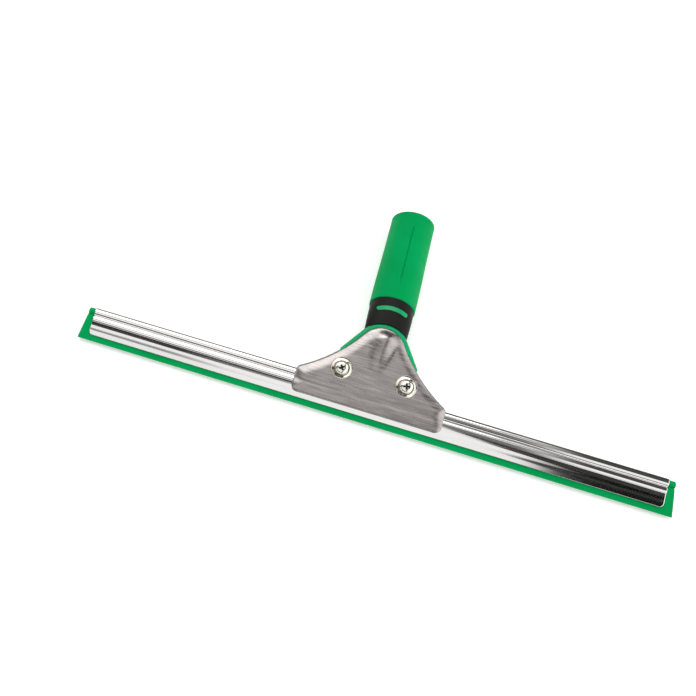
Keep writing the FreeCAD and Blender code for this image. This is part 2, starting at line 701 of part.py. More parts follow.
def table_angle():
    """Tilt, in degrees, that lays the clamp's back edge and the handle's end on one plane."""
    edge_radius = PLATE_EDGE_FILLET
    edge = Vector(0, PLATE_BOTTOM_Y + edge_radius, -PLATE_FACE_Z + edge_radius)
    last = SLEEVE_SECTIONS[-1]
    rim_radius = SLEEVE_END_FILLET
    rim = on_axis(END_S - rim_radius) - HANDLE_FRONT * (last[2] - rim_radius)
    span = rim - edge
    slope = math.atan2(-span.z, span.y)
    return math.degrees(slope + math.asin((rim_radius - edge_radius) / span.Length))


def build_parts():
    """All pieces in the clamp's frame, by node name."""
    core = make_core()
    plates = [make_front_plate(), make_back_plate()]
    inlay = make_inlay()
    collar = make_collar(core, plates)
    parts = {
        "grip_sleeve": make_sleeve(core),
        "neck_collar": collar.cut(inlay),
        "collar_inlay": inlay,
        "front_clamp_plate": plates[0],
        "back_clamp_plate": plates[1],
        "front_jaw_pad": make_jaw_pad(),
        "back_jaw_pad": mirror_z(make_jaw_pad()),
        "channel": make_channel(),
        "rubber_blade": make_rubber(),
    }
    for side, y in RIVET_YS.items():
        rivet = make_rivet(y)
        parts["core_rivet_" + side] = rivet
        core = core.cut(rivet)
    parts["handle_core"] = core
    for side, sign in SIDES:
        parts["clamp_screw_" + side] = make_screw(sign)
        parts["lock_washer_" + side] = make_lock_washer(sign)
        parts["captive_nut_" + side] = make_captive_nut(sign)
        parts["end_clip_" + side] = make_end_clip(sign)
    return parts


def place_on_table(parts):
    """Turn the tool into its lying pose and put the origin under its middle."""
    turned = {}
    for name, shape in parts.items():
        turned[name] = shape.copy()
        turned[name].rotate(Vector(0, 0, 0), Vector(1, 0, 0), table_angle())
    extent = Part.makeCompound(list(turned.values())).optimalBoundingBox(False, False)
    shift = Vector(-extent.Center.x, -extent.Center.y, -extent.ZMin)
    for shape in turned.values():
        shape.translate(shift)
    return turned, shift


def main():
    """Build, place and export every piece."""
    os.makedirs("parts", exist_ok=True)
    parts, shift = place_on_table(build_parts())
    for name, shape in sorted(parts.items()):
        shape.exportStep(os.path.join("parts", name + ".step"))
        print(name, "solids", len(shape.Solids), "mm3", round(shape.Volume, 1), "valid", shape.isValid())
    print("tilt", round(table_angle(), 4), "shift", tuple(round(value, 4) for value in shift))


main()
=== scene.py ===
"""Window squeegee: the shown pieces, their finishes and the studio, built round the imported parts."""

import json
import logging
import math
from dataclasses import dataclass
from enum import Enum
from typing import Any, Callable, Dict, List, Sequence, Tuple

import bpy
from mathutils import Matrix, Vector
from mathutils.kdtree import KDTree


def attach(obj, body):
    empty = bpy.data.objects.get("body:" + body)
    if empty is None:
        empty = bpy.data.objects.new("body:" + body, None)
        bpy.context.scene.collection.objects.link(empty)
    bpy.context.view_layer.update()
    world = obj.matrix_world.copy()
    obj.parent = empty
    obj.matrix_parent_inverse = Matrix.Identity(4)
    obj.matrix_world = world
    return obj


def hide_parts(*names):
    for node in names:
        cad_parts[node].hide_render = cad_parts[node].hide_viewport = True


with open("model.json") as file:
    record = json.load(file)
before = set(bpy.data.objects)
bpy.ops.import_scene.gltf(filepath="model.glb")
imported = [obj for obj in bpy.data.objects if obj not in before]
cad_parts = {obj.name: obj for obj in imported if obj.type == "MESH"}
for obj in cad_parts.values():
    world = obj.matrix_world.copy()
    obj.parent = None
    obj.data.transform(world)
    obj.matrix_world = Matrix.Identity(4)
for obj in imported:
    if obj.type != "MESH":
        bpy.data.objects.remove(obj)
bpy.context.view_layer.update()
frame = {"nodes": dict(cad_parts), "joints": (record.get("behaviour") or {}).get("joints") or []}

log = logging.getLogger("squeegee")

MM = 0.001
Colour = Tuple[float, float, float]
Place = Callable[[Vector], Vector]


class Side(Enum):
    """The tool's two sides, with the sign of X."""

    LEFT = -1
    RIGHT = 1

    @property
    def word(self) -> str:
        """The side's name as the parts spell it."""
        return self.name.lower()


class Body(Enum):
    """Bodies that the shown pieces ride on."""

    TOOL = "handle_and_clamp"
    CHANNEL = "blade_channel"
    BLADE = "blade_rubber"


def ease(low: float, high: float, value: float) -> float:
    """Smooth step from 0 at low to 1 at high."""
    share = min(max((value - low) / (high - low), 0.0), 1.0)
    return share * share * (3.0 - 2.0 * share)


# ---------------------------------------------------------------- places


@dataclass(frozen=True)
class ClampPlace:
    """The clamp's drawing frame, in millimetres, as it lies on the table.

    X runs along the blade, Y from the blade's edge to the handle and Z out of the front plate.
    """

    screw_y: float = 8.7
    screw_seat_z: float = 6.8
    bend_deg: float = 27.0
    handle_start_y: float = 42.5

    def matrix(self, joints: Sequence[Dict[str, Any]]) -> Matrix:
        """Clamp millimetres to table metres, read from the two screws' hinges.

        Args:
            joints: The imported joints.

        Returns:
            The placing matrix.
        """
        hinges = {joint["name"]: joint for joint in joints}
        left = Vector(hinges["screw_left_turn"]["pos_m"])
        right = Vector(hinges["screw_right_turn"]["pos_m"])
        out = Vector(hinges["screw_left_turn"]["axis"]).normalized()
        along = (right - left).normalized()
        up = out.cross(along)
        origin = (left + right) / 2 - up * self.screw_y * MM - out * self.screw_seat_z * MM
        turned = Matrix((along, up, out)).transposed().to_4x4()
        return Matrix.Translation(origin) @ turned @ Matrix.Scale(MM, 4)

    def handle(self) -> Matrix:
        """The handle's frame in the clamp's: X across, Y towards its back, Z along its axis.

        Returns:
            The matrix from the handle's frame to the clamp's.
        """
        bend = math.radians(self.bend_deg)
        axis = Vector((0.0, math.cos(bend), -math.sin(bend)))
        back = Vector((0.0, -math.sin(bend), -math.cos(bend)))
        turned = Matrix((Vector((1.0, 0.0, 0.0)), back, axis)).transposed().to_4x4()
        return Matrix.Translation((0.0, self.handle_start_y, 0.0)) @ turned

    @staticmethod
    def section() -> Matrix:
        """A drawing of the channel's section: X out of the front, Y up the blade, Z along -X."""
        rows = (Vector((0.0, 0.0, 1.0)), Vector((0.0, 1.0, 0.0)), Vector((-1.0, 0.0, 0.0)))
        return Matrix(rows).transposed().to_4x4()


# ---------------------------------------------------------------- modelling by hand


def swing(centre: Vector, start: Vector, end: Vector, steps: int) -> List[Vector]:
    """Points on an arc about a centre, the short way round.

    Args:
        centre: The arc's centre.
        start: First point.
        end: Last point.
        steps: Number of equal steps.

    Returns:
        The points, both ends included.
    """
    first = math.atan2(start.y - centre.y, start.x - centre.x)
    turn = math.atan2(end.y - centre.y, end.x - centre.x) - first
    turn = (turn + math.pi) % (2 * math.pi) - math.pi
    radius = (start - centre).length
    angles = [first + turn * step / steps for step in range(steps + 1)]
    return [centre + Vector((math.cos(a), math.sin(a))) * radius for a in angles]


def turn_index(co: Vector, count: int) -> int:
    """Which point of a ring of edges stands at a place, counted from +Y towards +X."""
    return round(math.atan2(co.x, co.y) / (2 * math.pi) * count) % count


def centre_of(first: Vector, second: Vector, third: Vector) -> Vector:
    """Centre of the circle through three points.

    Args:
        first: First point.
        second: Second point.
        third: Third point, off the line through the other two.

    Returns:
        The centre.
    """
    a, b = second - first, third - first
    cross = 2 * (a.x * b.y - a.y * b.x)
    x = (b.y * a.length_squared - a.y * b.length_squared) / cross
    y = (a.x * b.length_squared - b.x * a.length_squared) / cross
    return first + Vector((x, y))


def rounded_corner(before: Vector, corner: Vector, after: Vector, radius: float, steps: int) -> List[Vector]:
    """Points round a softened corner.

    Args:
        before: A point on the line that arrives.
        corner: The sharp corner.
        after: A point on the line that leaves.
        radius: Corner radius.
        steps: Number of steps in the bend.

    Returns:
        Points from the start of the bend to its end.
    """
    arrive, leave = (corner - before).normalized(), (after - corner).normalized()
    reach = radius * math.tan(arrive.angle(leave) / 2)
    start, end = corner - arrive * reach, corner + leave * reach
    points = []
    for step in range(steps + 1):
        t = step / steps
        points.append(start * (1 - t) ** 2 + corner * 2 * t * (1 - t) + end * t * t)
    return points


def evenly(points: Sequence[Vector], count: int) -> List[Vector]:
    """A closed outline resampled at equal steps.

    Args:
        points: Corner points of the closed outline.
        count: How many points to give.

    Returns:
        The evenly spaced points.
    """
    loop = list(points) + [points[0]]
    lengths = [(b - a).length for a, b in zip(loop, loop[1:])]
    total, found, run, index = sum(lengths), [], 0.0, 0
    for step in range(count):
        wanted = total * step / count
        while run + lengths[index] < wanted:
            run += lengths[index]
            index += 1
        share = (wanted - run) / max(lengths[index], 1e-9)
        found.append(loop[index].lerp(loop[index + 1], share))
    return found


class Workpiece:
    """One mesh on the bench, modelled in edit mode in millimetres."""

    def __init__(self, name: str) -> None:
        """Take the object that was just added as this piece.

        Args:
            name: Name of the piece.
        """
        self.item = bpy.context.object
        self.item.name = name
        self.item.data.name = name

    @staticmethod
    def clear_bench() -> None:
        """Leave edit mode and deselect everything."""
        if bpy.context.object and bpy.context.object.mode != "OBJECT":
            bpy.ops.object.mode_set(mode="OBJECT")
        bpy.ops.object.select_all(action="DESELECT")

    @classmethod
    def ring(cls, name: str, count: int) -> "Workpiece":
        """A circle of edges, one unit in radius.

        Args:
            name: Name of the piece.
            count: Number of edges.

        Returns:
            The ring.
        """
        cls.clear_bench()
        bpy.ops.mesh.primitive_circle_add(vertices=count, radius=1.0, fill_type="NOTHING")
        return cls(name)

    @classmethod
    def strip(cls, name: str, across: int, along: int) -> "Workpiece":
        """A flat strip of sheet, two units square, ready to be rolled.

        Args:
            name: Name of the piece.
            across: Faces across.
            along: Faces along.

        Returns:
            The strip.
        """
        cls.clear_bench()
        bpy.ops.mesh.primitive_grid_add(x_subdivisions=across, y_subdivisions=along, size=2.0)
        return cls(name)

    @classmethod
    def rod(cls, name: str, radius: float, centre: Vector, depth: float) -> "Workpiece":
        """An upright rod, used as a punch.

        Args:
            name: Name of the piece.
            radius: Its radius.
            centre: Its middle.
            depth: Its height.

        Returns:
            The rod.
        """
        cls.clear_bench()
        bpy.ops.mesh.primitive_cylinder_add(vertices=96, radius=radius, depth=depth, location=centre)
        piece = cls(name)
        piece.settle()
        return piece

    @classmethod
    def block(cls, name: str, size: Vector, centre: Vector) -> "Workpiece":
        """A block of the given size.

        Args:
            name: Name of the piece.
            size: Its three edges.
            centre: Its middle.

        Returns:
            The block.
        """
        cls.clear_bench()
        bpy.ops.mesh.primitive_cube_add(size=1.0, location=centre, scale=size)
        piece = cls(name)
        piece.settle()
        return piece

    def hold(self) -> None:
        """Select this piece alone."""
        self.clear_bench()
        self.item.select_set(True)
        bpy.context.view_layer.objects.active = self.item

    def settle(self) -> None:
        """Move the object's place into its mesh."""
        bpy.context.view_layer.update()
        self.item.data.transform(self.item.matrix_world)
        self.item.matrix_world = Matrix.Identity(4)

    def edit(self) -> None:
        """Enter edit mode on this piece alone, picking by vertices."""
        self.hold()
        bpy.ops.object.mode_set(mode="EDIT")
        bpy.ops.mesh.select_mode(type="VERT")

    def pick(self, wanted: Callable[[Vector], bool]) -> None:
        """Select the vertices whose place passes a test, and stay in edit mode.

        Args:
            wanted: Says whether a place is picked.
        """
        self.clear_bench()
        mesh = self.item.data
        for vertex in mesh.vertices:
            vertex.select = wanted(vertex.co)
        for edge in mesh.edges:
            edge.select = all(mesh.vertices[index].select for index in edge.vertices)
        for face in mesh.polygons:
            face.select = all(mesh.vertices[index].select for index in face.vertices)
        self.edit()

    def faces(self, wanted: Callable[[Vector, Vector], bool]) -> List[int]:
        """Numbers of the faces whose centre and normal pass a test."""
        return [face.index for face in self.item.data.polygons if wanted(face.center, face.normal)]

    def raise_rings(self, levels: int) -> None:
        """Extrude the ring upwards, one unit for each level.

        Args:
            levels: How many rings to add.
        """
        self.edit()
        bpy.ops.mesh.select_all(action="SELECT")
        for _ in range(levels):
            bpy.ops.mesh.extrude_edges_move(TRANSFORM_OT_translate={"value": (0.0, 0.0, 1.0)})

    def cap(self, level: int) -> None:
        """Fill the ring that stands at a level."""
        self.pick(lambda co: abs(co.z - level) < 0.01)
        bpy.ops.mesh.edge_face_add()

    def gather(self, level: int) -> None:
        """Draw the ring at a level together into one point."""
        self.pick(lambda co: abs(co.z - level) < 0.01)
        bpy.ops.mesh.merge(type="CENTER")

    def join_rings(self, first: int, last: int) -> None:
        """Bridge two rings into a closed shell."""
        self.pick(lambda co: min(abs(co.z - first), abs(co.z - last)) < 0.01)
        bpy.ops.mesh.bridge_edge_loops()

    def form(self, place: Place) -> None:
        """Press the mesh into shape: every point goes where the rule says.

        Args:
            place: From a point of the raw mesh to its place in the shape.
        """
        self.clear_bench()
        for vertex in self.item.data.vertices:
            vertex.co = place(vertex.co.copy())
        self.item.data.update()

    def face_outwards(self) -> None:
        """Recalculate the normals of a closed piece."""
        self.edit()
        bpy.ops.mesh.select_all(action="SELECT")
        bpy.ops.mesh.remove_doubles(threshold=0.0005)
        bpy.ops.mesh.normals_make_consistent(inside=False)
        self.clear_bench()

    def turn_sheet(self, outward: Callable[[Vector, Vector], float]) -> None:
        """Turn an open sheet so that its outside faces outwards.

        Args:
            outward: From a face's centre and normal, a number over 0 when it faces outwards.
        """
        self.clear_bench()
        votes = sum(outward(face.center, face.normal) * face.area for face in self.item.data.polygons)
        if votes < 0:
            self.edit()
            bpy.ops.mesh.select_all(action="SELECT")
            bpy.ops.mesh.flip_normals()
            self.clear_bench()

    def modifier(self, kind: str, settings: Dict[str, Any]) -> None:
        """Add one modifier and apply it.

        Args:
            kind: Blender's modifier type.
            settings: The modifier's settings by name.
        """
        self.hold()
        made = self.item.modifiers.new(kind.lower(), kind)
        for name, value in settings.items():
            setattr(made, name, value)
        bpy.ops.object.modifier_apply(modifier=made.name)

    def wall(self, thickness: float) -> None:
        """Give a sheet its thickness, inwards."""
        self.modifier("SOLIDIFY", {"thickness": thickness, "offset": -1.0, "use_even_offset": True})

    def soften(self, width: float, segments: int, angle_deg: float) -> None:
        """Round the sharp edges.

        Args:
            width: Width of the rounding.
            segments: Faces across it.
            angle_deg: Edges that bend by more than this are rounded.
        """
        settings = {"width": width, "segments": segments, "limit_method": "ANGLE"}
        settings.update(angle_limit=math.radians(angle_deg), harden_normals=False, use_clamp_overlap=True)
        self.modifier("BEVEL", settings)

    def combine(self, operation: str, tool: "Workpiece") -> None:
        """Cut with another piece or fuse it in; either way it is used up.

        Args:
            operation: Blender's name for the cut or the union.
            tool: The other piece.
        """
        self.modifier("BOOLEAN", {"operation": operation, "solver": "EXACT", "object": tool.item})
        spent = tool.item.data
        bpy.data.objects.remove(tool.item)
        bpy.data.meshes.remove(spent)

    def punch(self, tool: "Workpiece") -> None:
        """Cut with another piece, which is used up."""
        self.combine("DIFFERENCE", tool)

    def take_in(self, others: Sequence["Workpiece"]) -> None:
        """Join other pieces into this one.

        Args:
            others: The pieces that join.
        """
        self.hold()
        for other in others:
            other.item.select_set(True)
        bpy.ops.object.join()

    def smooth(self, angle_deg: float) -> None:
        """Shade smooth below an angle."""
        self.hold()
        bpy.ops.object.shade_smooth_by_angle(angle=math.radians(angle_deg))

    def lay(self, matrix: Matrix) -> None:
        """Put the mesh in its place; the object stays at the origin.

        Args:
            matrix: From the drawing's millimetres to the place in metres.
        """
        self.clear_bench()
        self.item.data.transform(matrix)
        self.item.data.update()


def turned(name: str, profile: Sequence[Tuple[float, float]], count: int, open_ring: bool) -> Workpiece:
    """A piece turned about Z from a profile.

    Args:
        name: Name of the piece.
        profile: Radius and height of each ring.
        count: Points round each ring.
        open_ring: True for a ring with a hole, whose profile closes on itself.

    Returns:
        The closed piece.
    """
    piece = Workpiece.ring(name, count)
    last = len(profile) - 1
    piece.raise_rings(last)
    if open_ring:
        piece.join_rings(0, last)
    else:
        piece.cap(0)
        piece.cap(last)

    def place(co: Vector) -> Vector:
        """Put a point on the profile's ring.

        Args:
            co: A point of the raw mesh.

        Returns:
            Its place in the finished shape.
        """
        radius, height = profile[round(co.z)]
        return Vector((co.x * radius, co.y * radius, height))

    piece.form(place)
    piece.face_outwards()
    return piece


# ---------------------------------------------------------------- shader bench


class Signal:
    """A node's output that can be used in sums."""

    def __init__(self, desk: "Desk", socket: Any) -> None:
        """Wrap one output socket of a desk's tree."""
        self.desk = desk
        self.socket = socket

    def _sum(self, operation: str, first: Any, second: Any) -> "Signal":
        """One Math node on two values or signals."""
        return self.desk.node("ShaderNodeMath", {"operation": operation}, {0: first, 1: second})

    def __add__(self, other: Any) -> "Signal":
        """self + other."""
        return self._sum("ADD", self, other)

    __radd__ = __add__

    def __sub__(self, other: Any) -> "Signal":
        """self - other."""
        return self._sum("SUBTRACT", self, other)

    def __rsub__(self, other: Any) -> "Signal":
        """other - self."""
        return self._sum("SUBTRACT", other, self)

    def __mul__(self, other: Any) -> "Signal":
        """self * other."""
        return self._sum("MULTIPLY", self, other)

    __rmul__ = __mul__

    def step(self, low: float, high: float) -> "Signal":
        """Smooth step from 0 at low to 1 at high.

        Args:
            low: Where it starts to rise.
            high: Where it has risen.

        Returns:
            The stepped signal.
        """
        settings = {"interpolation_type": "SMOOTHSTEP"}
        inputs = {"Value": self, "From Min": low, "From Max": high}
        return self.desk.node("ShaderNodeMapRange", settings, inputs)


class Desk:
    """A node tree under construction."""

    def __init__(self, tree: Any) -> None:
        """Start from an empty tree."""
        self.tree = tree
        tree.nodes.clear()

    def node(self, kind: str, settings: Dict[str, Any], inputs: Dict[Any, Any], out: Any = 0) -> Signal:
        """Add one node: settings first, then its inputs.

        Args:
            kind: The node's type.
            settings: The node's properties, set before its inputs.
            inputs: Values or signals by socket name or number.
            out: Which output to give.

        Returns:
            The chosen output.
        """
        made = self.tree.nodes.new(kind)
        for name, value in settings.items():
            setattr(made, name, value)
        for name, value in inputs.items():
            if isinstance(value, Signal):
                self.tree.links.new(value.socket, made.inputs[name])
            else:
                made.inputs[name].default_value = value
        return Signal(self, made.outputs[out] if len(made.outputs) else None)

    def blend(self, share: Signal, first: Colour, second: Colour) -> Signal:
        """Mix two colours by a share."""
        inputs = {0: share, 6: (*first, 1.0), 7: (*second, 1.0)}
        return self.node("ShaderNodeMix", {"data_type": "RGBA"}, inputs, 2)

    def noise(self, scale: Tuple[float, float, float], detail: float = 3.0) -> Signal:
        """Noise on object coordinates, stretched by a scale for each axis.

        Args:
            scale: How many grains a metre holds along each axis.
            detail: How many finer layers are added.

        Returns:
            The noise, from 0 to 1.
        """
        place = self.node("ShaderNodeTexCoord", {}, {}, "Object")
        mapped = self.node("ShaderNodeMapping", {}, {"Vector": place, "Scale": scale})
        return self.node("ShaderNodeTexNoise", {}, {"Vector": mapped, "Scale": 1.0, "Detail": detail})

    def bump(self, height: Signal, strength: float, distance: float) -> Signal:
        """A bump map from a height."""
        return self.node("ShaderNodeBump", {}, {"Height": height, "Strength": strength, "Distance": distance})

    def surface(self, inputs: Dict[str, Any]) -> None:
        """Finish the material with one shader."""
        shader = self.node("ShaderNodeBsdfPrincipled", {}, inputs)
        self.node("ShaderNodeOutputMaterial", {}, {"Surface": shader})


def new_desk(name: str) -> Tuple[Any, Desk]:
    """A new material and its desk.

    Args:
        name: The material's name.

    Returns:
        The material, and the desk that its nodes are laid on.
    """
    material = bpy.data.materials.new(name)
    material.use_nodes = True
    return material, Desk(material.node_tree)


@dataclass(frozen=True)
class Steel:
    """Stainless steel with fine lines that run along the blade.

    Attributes:
        light, dark: The two tones that its lines drift between.
        smooth, rough: Roughness of the two tones.
        lines: How many lines a metre holds.
        streak_depth: Strength of the lines' relief.
    """

    name: str
    light: Colour
    dark: Colour
    smooth: float
    rough: float
    lines: float
    streak_depth: float

    def made(self) -> Any:
        """The material.

        Returns:
            The finished material.
        """
        material, desk = new_desk(self.name)
        streaks = desk.noise((70.0, self.lines, self.lines), 4.0)
        clouds = desk.noise((30.0, 220.0, 220.0), 3.0)
        fine = desk.noise((400.0, self.lines * 2.5, self.lines * 2.5), 2.0)
        tone = (streaks * 0.65 + clouds * 0.35).step(0.32, 0.68)
        desk.surface(
            {
                "Base Color": desk.blend(tone, self.dark, self.light),
                "Metallic": 1.0,
                "Roughness": self.smooth + (self.rough - self.smooth) * tone,
                "Normal": desk.bump(streaks * 0.6 + fine * 0.4, self.streak_depth, 0.00012),
            }
        )
        return material


@dataclass(frozen=True)
class Moulded:
    """Moulded rubber or plastic with a fine grain, a slow drift of tone and rubbed patches.

    Attributes:
        light, dark: The two tones of the drift.
        smooth, rough: Roughness of rubbed and of fresh patches.
        grain: How many grains a metre holds.
        grain_depth: Strength of the grain's relief.
        coat: Weight of the clear skin.
        gleam: Strength of the sheen; 0.5 is plain plastic.
    """

    name: str
    light: Colour
    dark: Colour
    smooth: float
    rough: float
    grain: float
    grain_depth: float
    coat: float = 0.0
    gleam: float = 0.5

    def made(self) -> Any:
        """The material.

        Returns:
            The finished material.
        """
        material, desk = new_desk(self.name)
        drift = desk.noise((28.0, 28.0, 28.0), 2.0)
        grain = desk.noise((self.grain, self.grain, self.grain), 3.0)
        rubbed = desk.noise((90.0, 90.0, 90.0), 4.0)
        tone = (drift * 0.7 + grain * 0.3).step(0.3, 0.7)
        desk.surface(
            {
                "Base Color": desk.blend(tone, self.dark, self.light),
                "Roughness": self.smooth + (self.rough - self.smooth) * rubbed.step(0.3, 0.7),
                "Coat Weight": self.coat,
                "Specular IOR Level": self.gleam,
                "Normal": desk.bump(grain, self.grain_depth, 0.0001),
            }
        )
        return material


@dataclass(frozen=True)
class Finishes:
    """Every finish of the tool, by the record's slot names."""

    grip_green = Moulded(
        "grip_soft_green", (0.0, 0.325, 0.090), (0.0, 0.285, 0.072), 0.42, 0.52, 1500.0, 0.10, gleam=0.03
    )
    core_green = Moulded(
        "core_green", (0.001, 0.38, 0.14), (0.0, 0.31, 0.105), 0.20, 0.28, 700.0, 0.04, coat=0.1, gleam=0.15
    )
    collar_black = Moulded(
        "collar_black", (0.011, 0.012, 0.010), (0.007, 0.008, 0.006), 0.42, 0.52, 1600.0, 0.12, gleam=0.12
    )
    blade_green = Moulded(
        "blade_green", (0.0, 0.325, 0.090), (0.0, 0.285, 0.072), 0.36, 0.46, 900.0, 0.05, gleam=0.04
    )
    pad_black = Moulded(
        "pad_black", (0.030, 0.030, 0.030), (0.016, 0.016, 0.016), 0.50, 0.62, 1200.0, 0.15, gleam=0.2
    )
    clip_plastic = Moulded("clip_plastic", (0.035, 0.035, 0.035), (0.02, 0.02, 0.02), 0.35, 0.5, 900.0, 0.08)
    # painted shade: a dark brownish finish laid in the screws' sunk cross, where shade falls
    recess_painted_shade = Moulded(
        "recess_painted_shade", (0.05, 0.045, 0.035), (0.02, 0.018, 0.014), 0.4, 0.6, 2500.0, 0.2, gleam=0.3
    )
    plate_steel = Steel("plate_steel", (0.43, 0.395, 0.385), (0.27, 0.25, 0.245), 0.20, 0.30, 900.0, 0.08)
    # painted shade: a darker steel laid on the plate's border, standing in for the shadow gap along its edge
    edge_painted_shade = Steel("edge_painted_shade", (0.30, 0.28, 0.27), (0.20, 0.185, 0.18), 0.30, 0.45, 900.0, 0.10)
    channel_steel = Steel("channel_steel", (0.88, 0.875, 0.865), (0.82, 0.81, 0.80), 0.05, 0.08, 3200.0, 0.01)
    # the screws' own steel; also laid on the plate's cups round the screws as a painted highlight
    screw_steel = Steel("screw_steel", (0.86, 0.84, 0.78), (0.76, 0.74, 0.68), 0.06, 0.12, 900.0, 0.05)
    hidden_steel = Steel("hidden_steel", (0.62, 0.61, 0.57), (0.50, 0.49, 0.46), 0.28, 0.40, 1200.0, 0.25)


@dataclass
class Dresser:
    """Makes each finish once and hands pieces over to their bodies."""

    made: Dict[str, Any]

    def material(self, slot: str) -> Any:
        """The slot's material, made on first use.

        Args:
            slot: Name of a finish.

        Returns:
            The material.
        """
        if slot not in self.made:
            self.made[slot] = getattr(Finishes, slot).made()
        return self.made[slot]

    def hand_over(self, piece: Workpiece, slot: str, body: str, nodes: Sequence[str]) -> None:
        """Dress a finished piece and let it ride.

        Args:
            piece: The finished piece, in place.
            slot: The record's material slot.
            body: Body to ride on.
            nodes: CAD nodes that it stands for.
        """
        piece.item.data.materials.clear()
        piece.item.data.materials.append(self.material(slot))
        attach(piece.item, body)
        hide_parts(*nodes)
        log.info("%s: %d faces on %s", piece.item.name, len(piece.item.data.polygons), body)

    def trim(self, piece: Workpiece, finish: str, faces: Sequence[int]) -> None:
        """Give some faces of a dressed piece a second finish.

        Args:
            piece: The dressed piece.
            finish: Name of the second finish.
            faces: Numbers of its faces.
        """
        mesh = piece.item.data
        mesh.materials.append(self.material(finish))
        slot = len(mesh.materials) - 1
        for index in faces:
            mesh.polygons[index].material_index = slot

    def keep(self, node: str, slot: str) -> None:
        """Give a CAD node that stays its finish.

        Args:
            node: Name of the CAD node.
            slot: The record's material slot.
        """
        item = frame["nodes"][node]
        item.data.materials.clear()
        item.data.materials.append(self.material(slot))
        log.info("%s: kept, %s", node, slot)


# ---------------------------------------------------------------- blade


@dataclass
class BladeChannel:
    """The rolled channel: tube on top, a round band and a flat leg on each side."""

    place: Matrix
    length: float = 450.0
    sheet: float = 0.8
    tube_radius: float = 3.7
    neck_half: float = 1.9
    band: Tuple[float, float] = (3.0, -9.2)
    leg_top: Tuple[float, float] = (2.4, -11.5)
    lip: Tuple[float, float] = (2.6, -22.2)
    leg_tilts: Tuple[Tuple[float, float], ...] = (
        (-12.8, -0.5),
        (-14.4, 0.4),
        (-16.2, 2.2),
        (-18.6, 1.0),
        (-22.2, 1.9),
    )
    leg_steps: int = 48
    tilt_blend: float = 0.35
    corner_radius: float = 3.4
    end_strip: float = 0.4
    edge_round: float = 0.14
    along: int = 24

    def half_profile(self) -> List[Vector]:
        """Front half of the section, from the lip to the top of the tube.

        The leg is rolled with a slight wave: each of its tilts, in degrees, holds down to a height.

        Returns:
            The points, in the plane of the section.
        """
        top, band = Vector(self.leg_top), Vector(self.band)
        leg, out, tilt = [], top.x, self.leg_tilts[0][1]
        rise = (self.lip[1] - top.y) / self.leg_steps
        for step in range(1, self.leg_steps + 1):
            y = top.y + rise * step
            wanted = next(angle for foot, angle in self.leg_tilts if y > foot - 0.01)
            tilt += (wanted - tilt) * self.tilt_blend
            out -= math.tan(math.radians(tilt)) * rise
            leg.append(Vector((out, y)))
        leg.reverse()
        neck_drop = math.sqrt(self.tube_radius**2 - self.neck_half**2)
        neck = Vector((self.neck_half, -self.tube_radius - neck_drop))
        belly = swing(centre_of(top, band, neck), top, neck, 20)
        centre = Vector((0.0, -self.tube_radius))
        tube = swing(centre, neck, Vector((0.0, 0.0)), 36)
        return leg + belly + tube[1:]

    def build(self, dresser: Dresser) -> None:
        """Roll the strip, give it its sheet and dress it.

        Args:
            dresser: Dresses the finished pieces and hands them over.
        """
        half = self.half_profile()
        section = half + [Vector((-point.x, point.y)) for point in reversed(half[:-1])]
        last = len(section) - 1
        piece = Workpiece.strip("channel_rolled_sheet", last, self.along)
        lip_y, radius = self.lip[1], self.corner_radius

        def place(co: Vector) -> Vector:
            """Roll the flat strip round the section.

            Args:
                co: A point of the raw mesh.

            Returns:
                Its place in the finished shape.
            """
            point = section[round((co.x + 1) / 2 * last)]
            missing = min(max(radius - (point.y - lip_y), 0.0), radius)
            end = self.length / 2 - (radius - math.sqrt(radius**2 - missing**2))
            share = co.y
            if abs(abs(share) - 1.0 + 2.0 / self.along) < 0.5 / self.along:
                share = math.copysign(1.0 - self.end_strip / end, share)
            return Vector((point.x, point.y, share * end))

        piece.form(place)
        centre_y = -self.tube_radius
        piece.turn_sheet(lambda spot, normal: spot.x * normal.x + max(spot.y - centre_y, 0.0) * normal.y)
        piece.wall(self.sheet)
        piece.soften(self.edge_round, 2, 55.0)
        piece.smooth(35.0)
        piece.lay(self.place @ ClampPlace.section())
        dresser.hand_over(piece, "channel_steel", Body.CHANNEL.value, ["channel"])


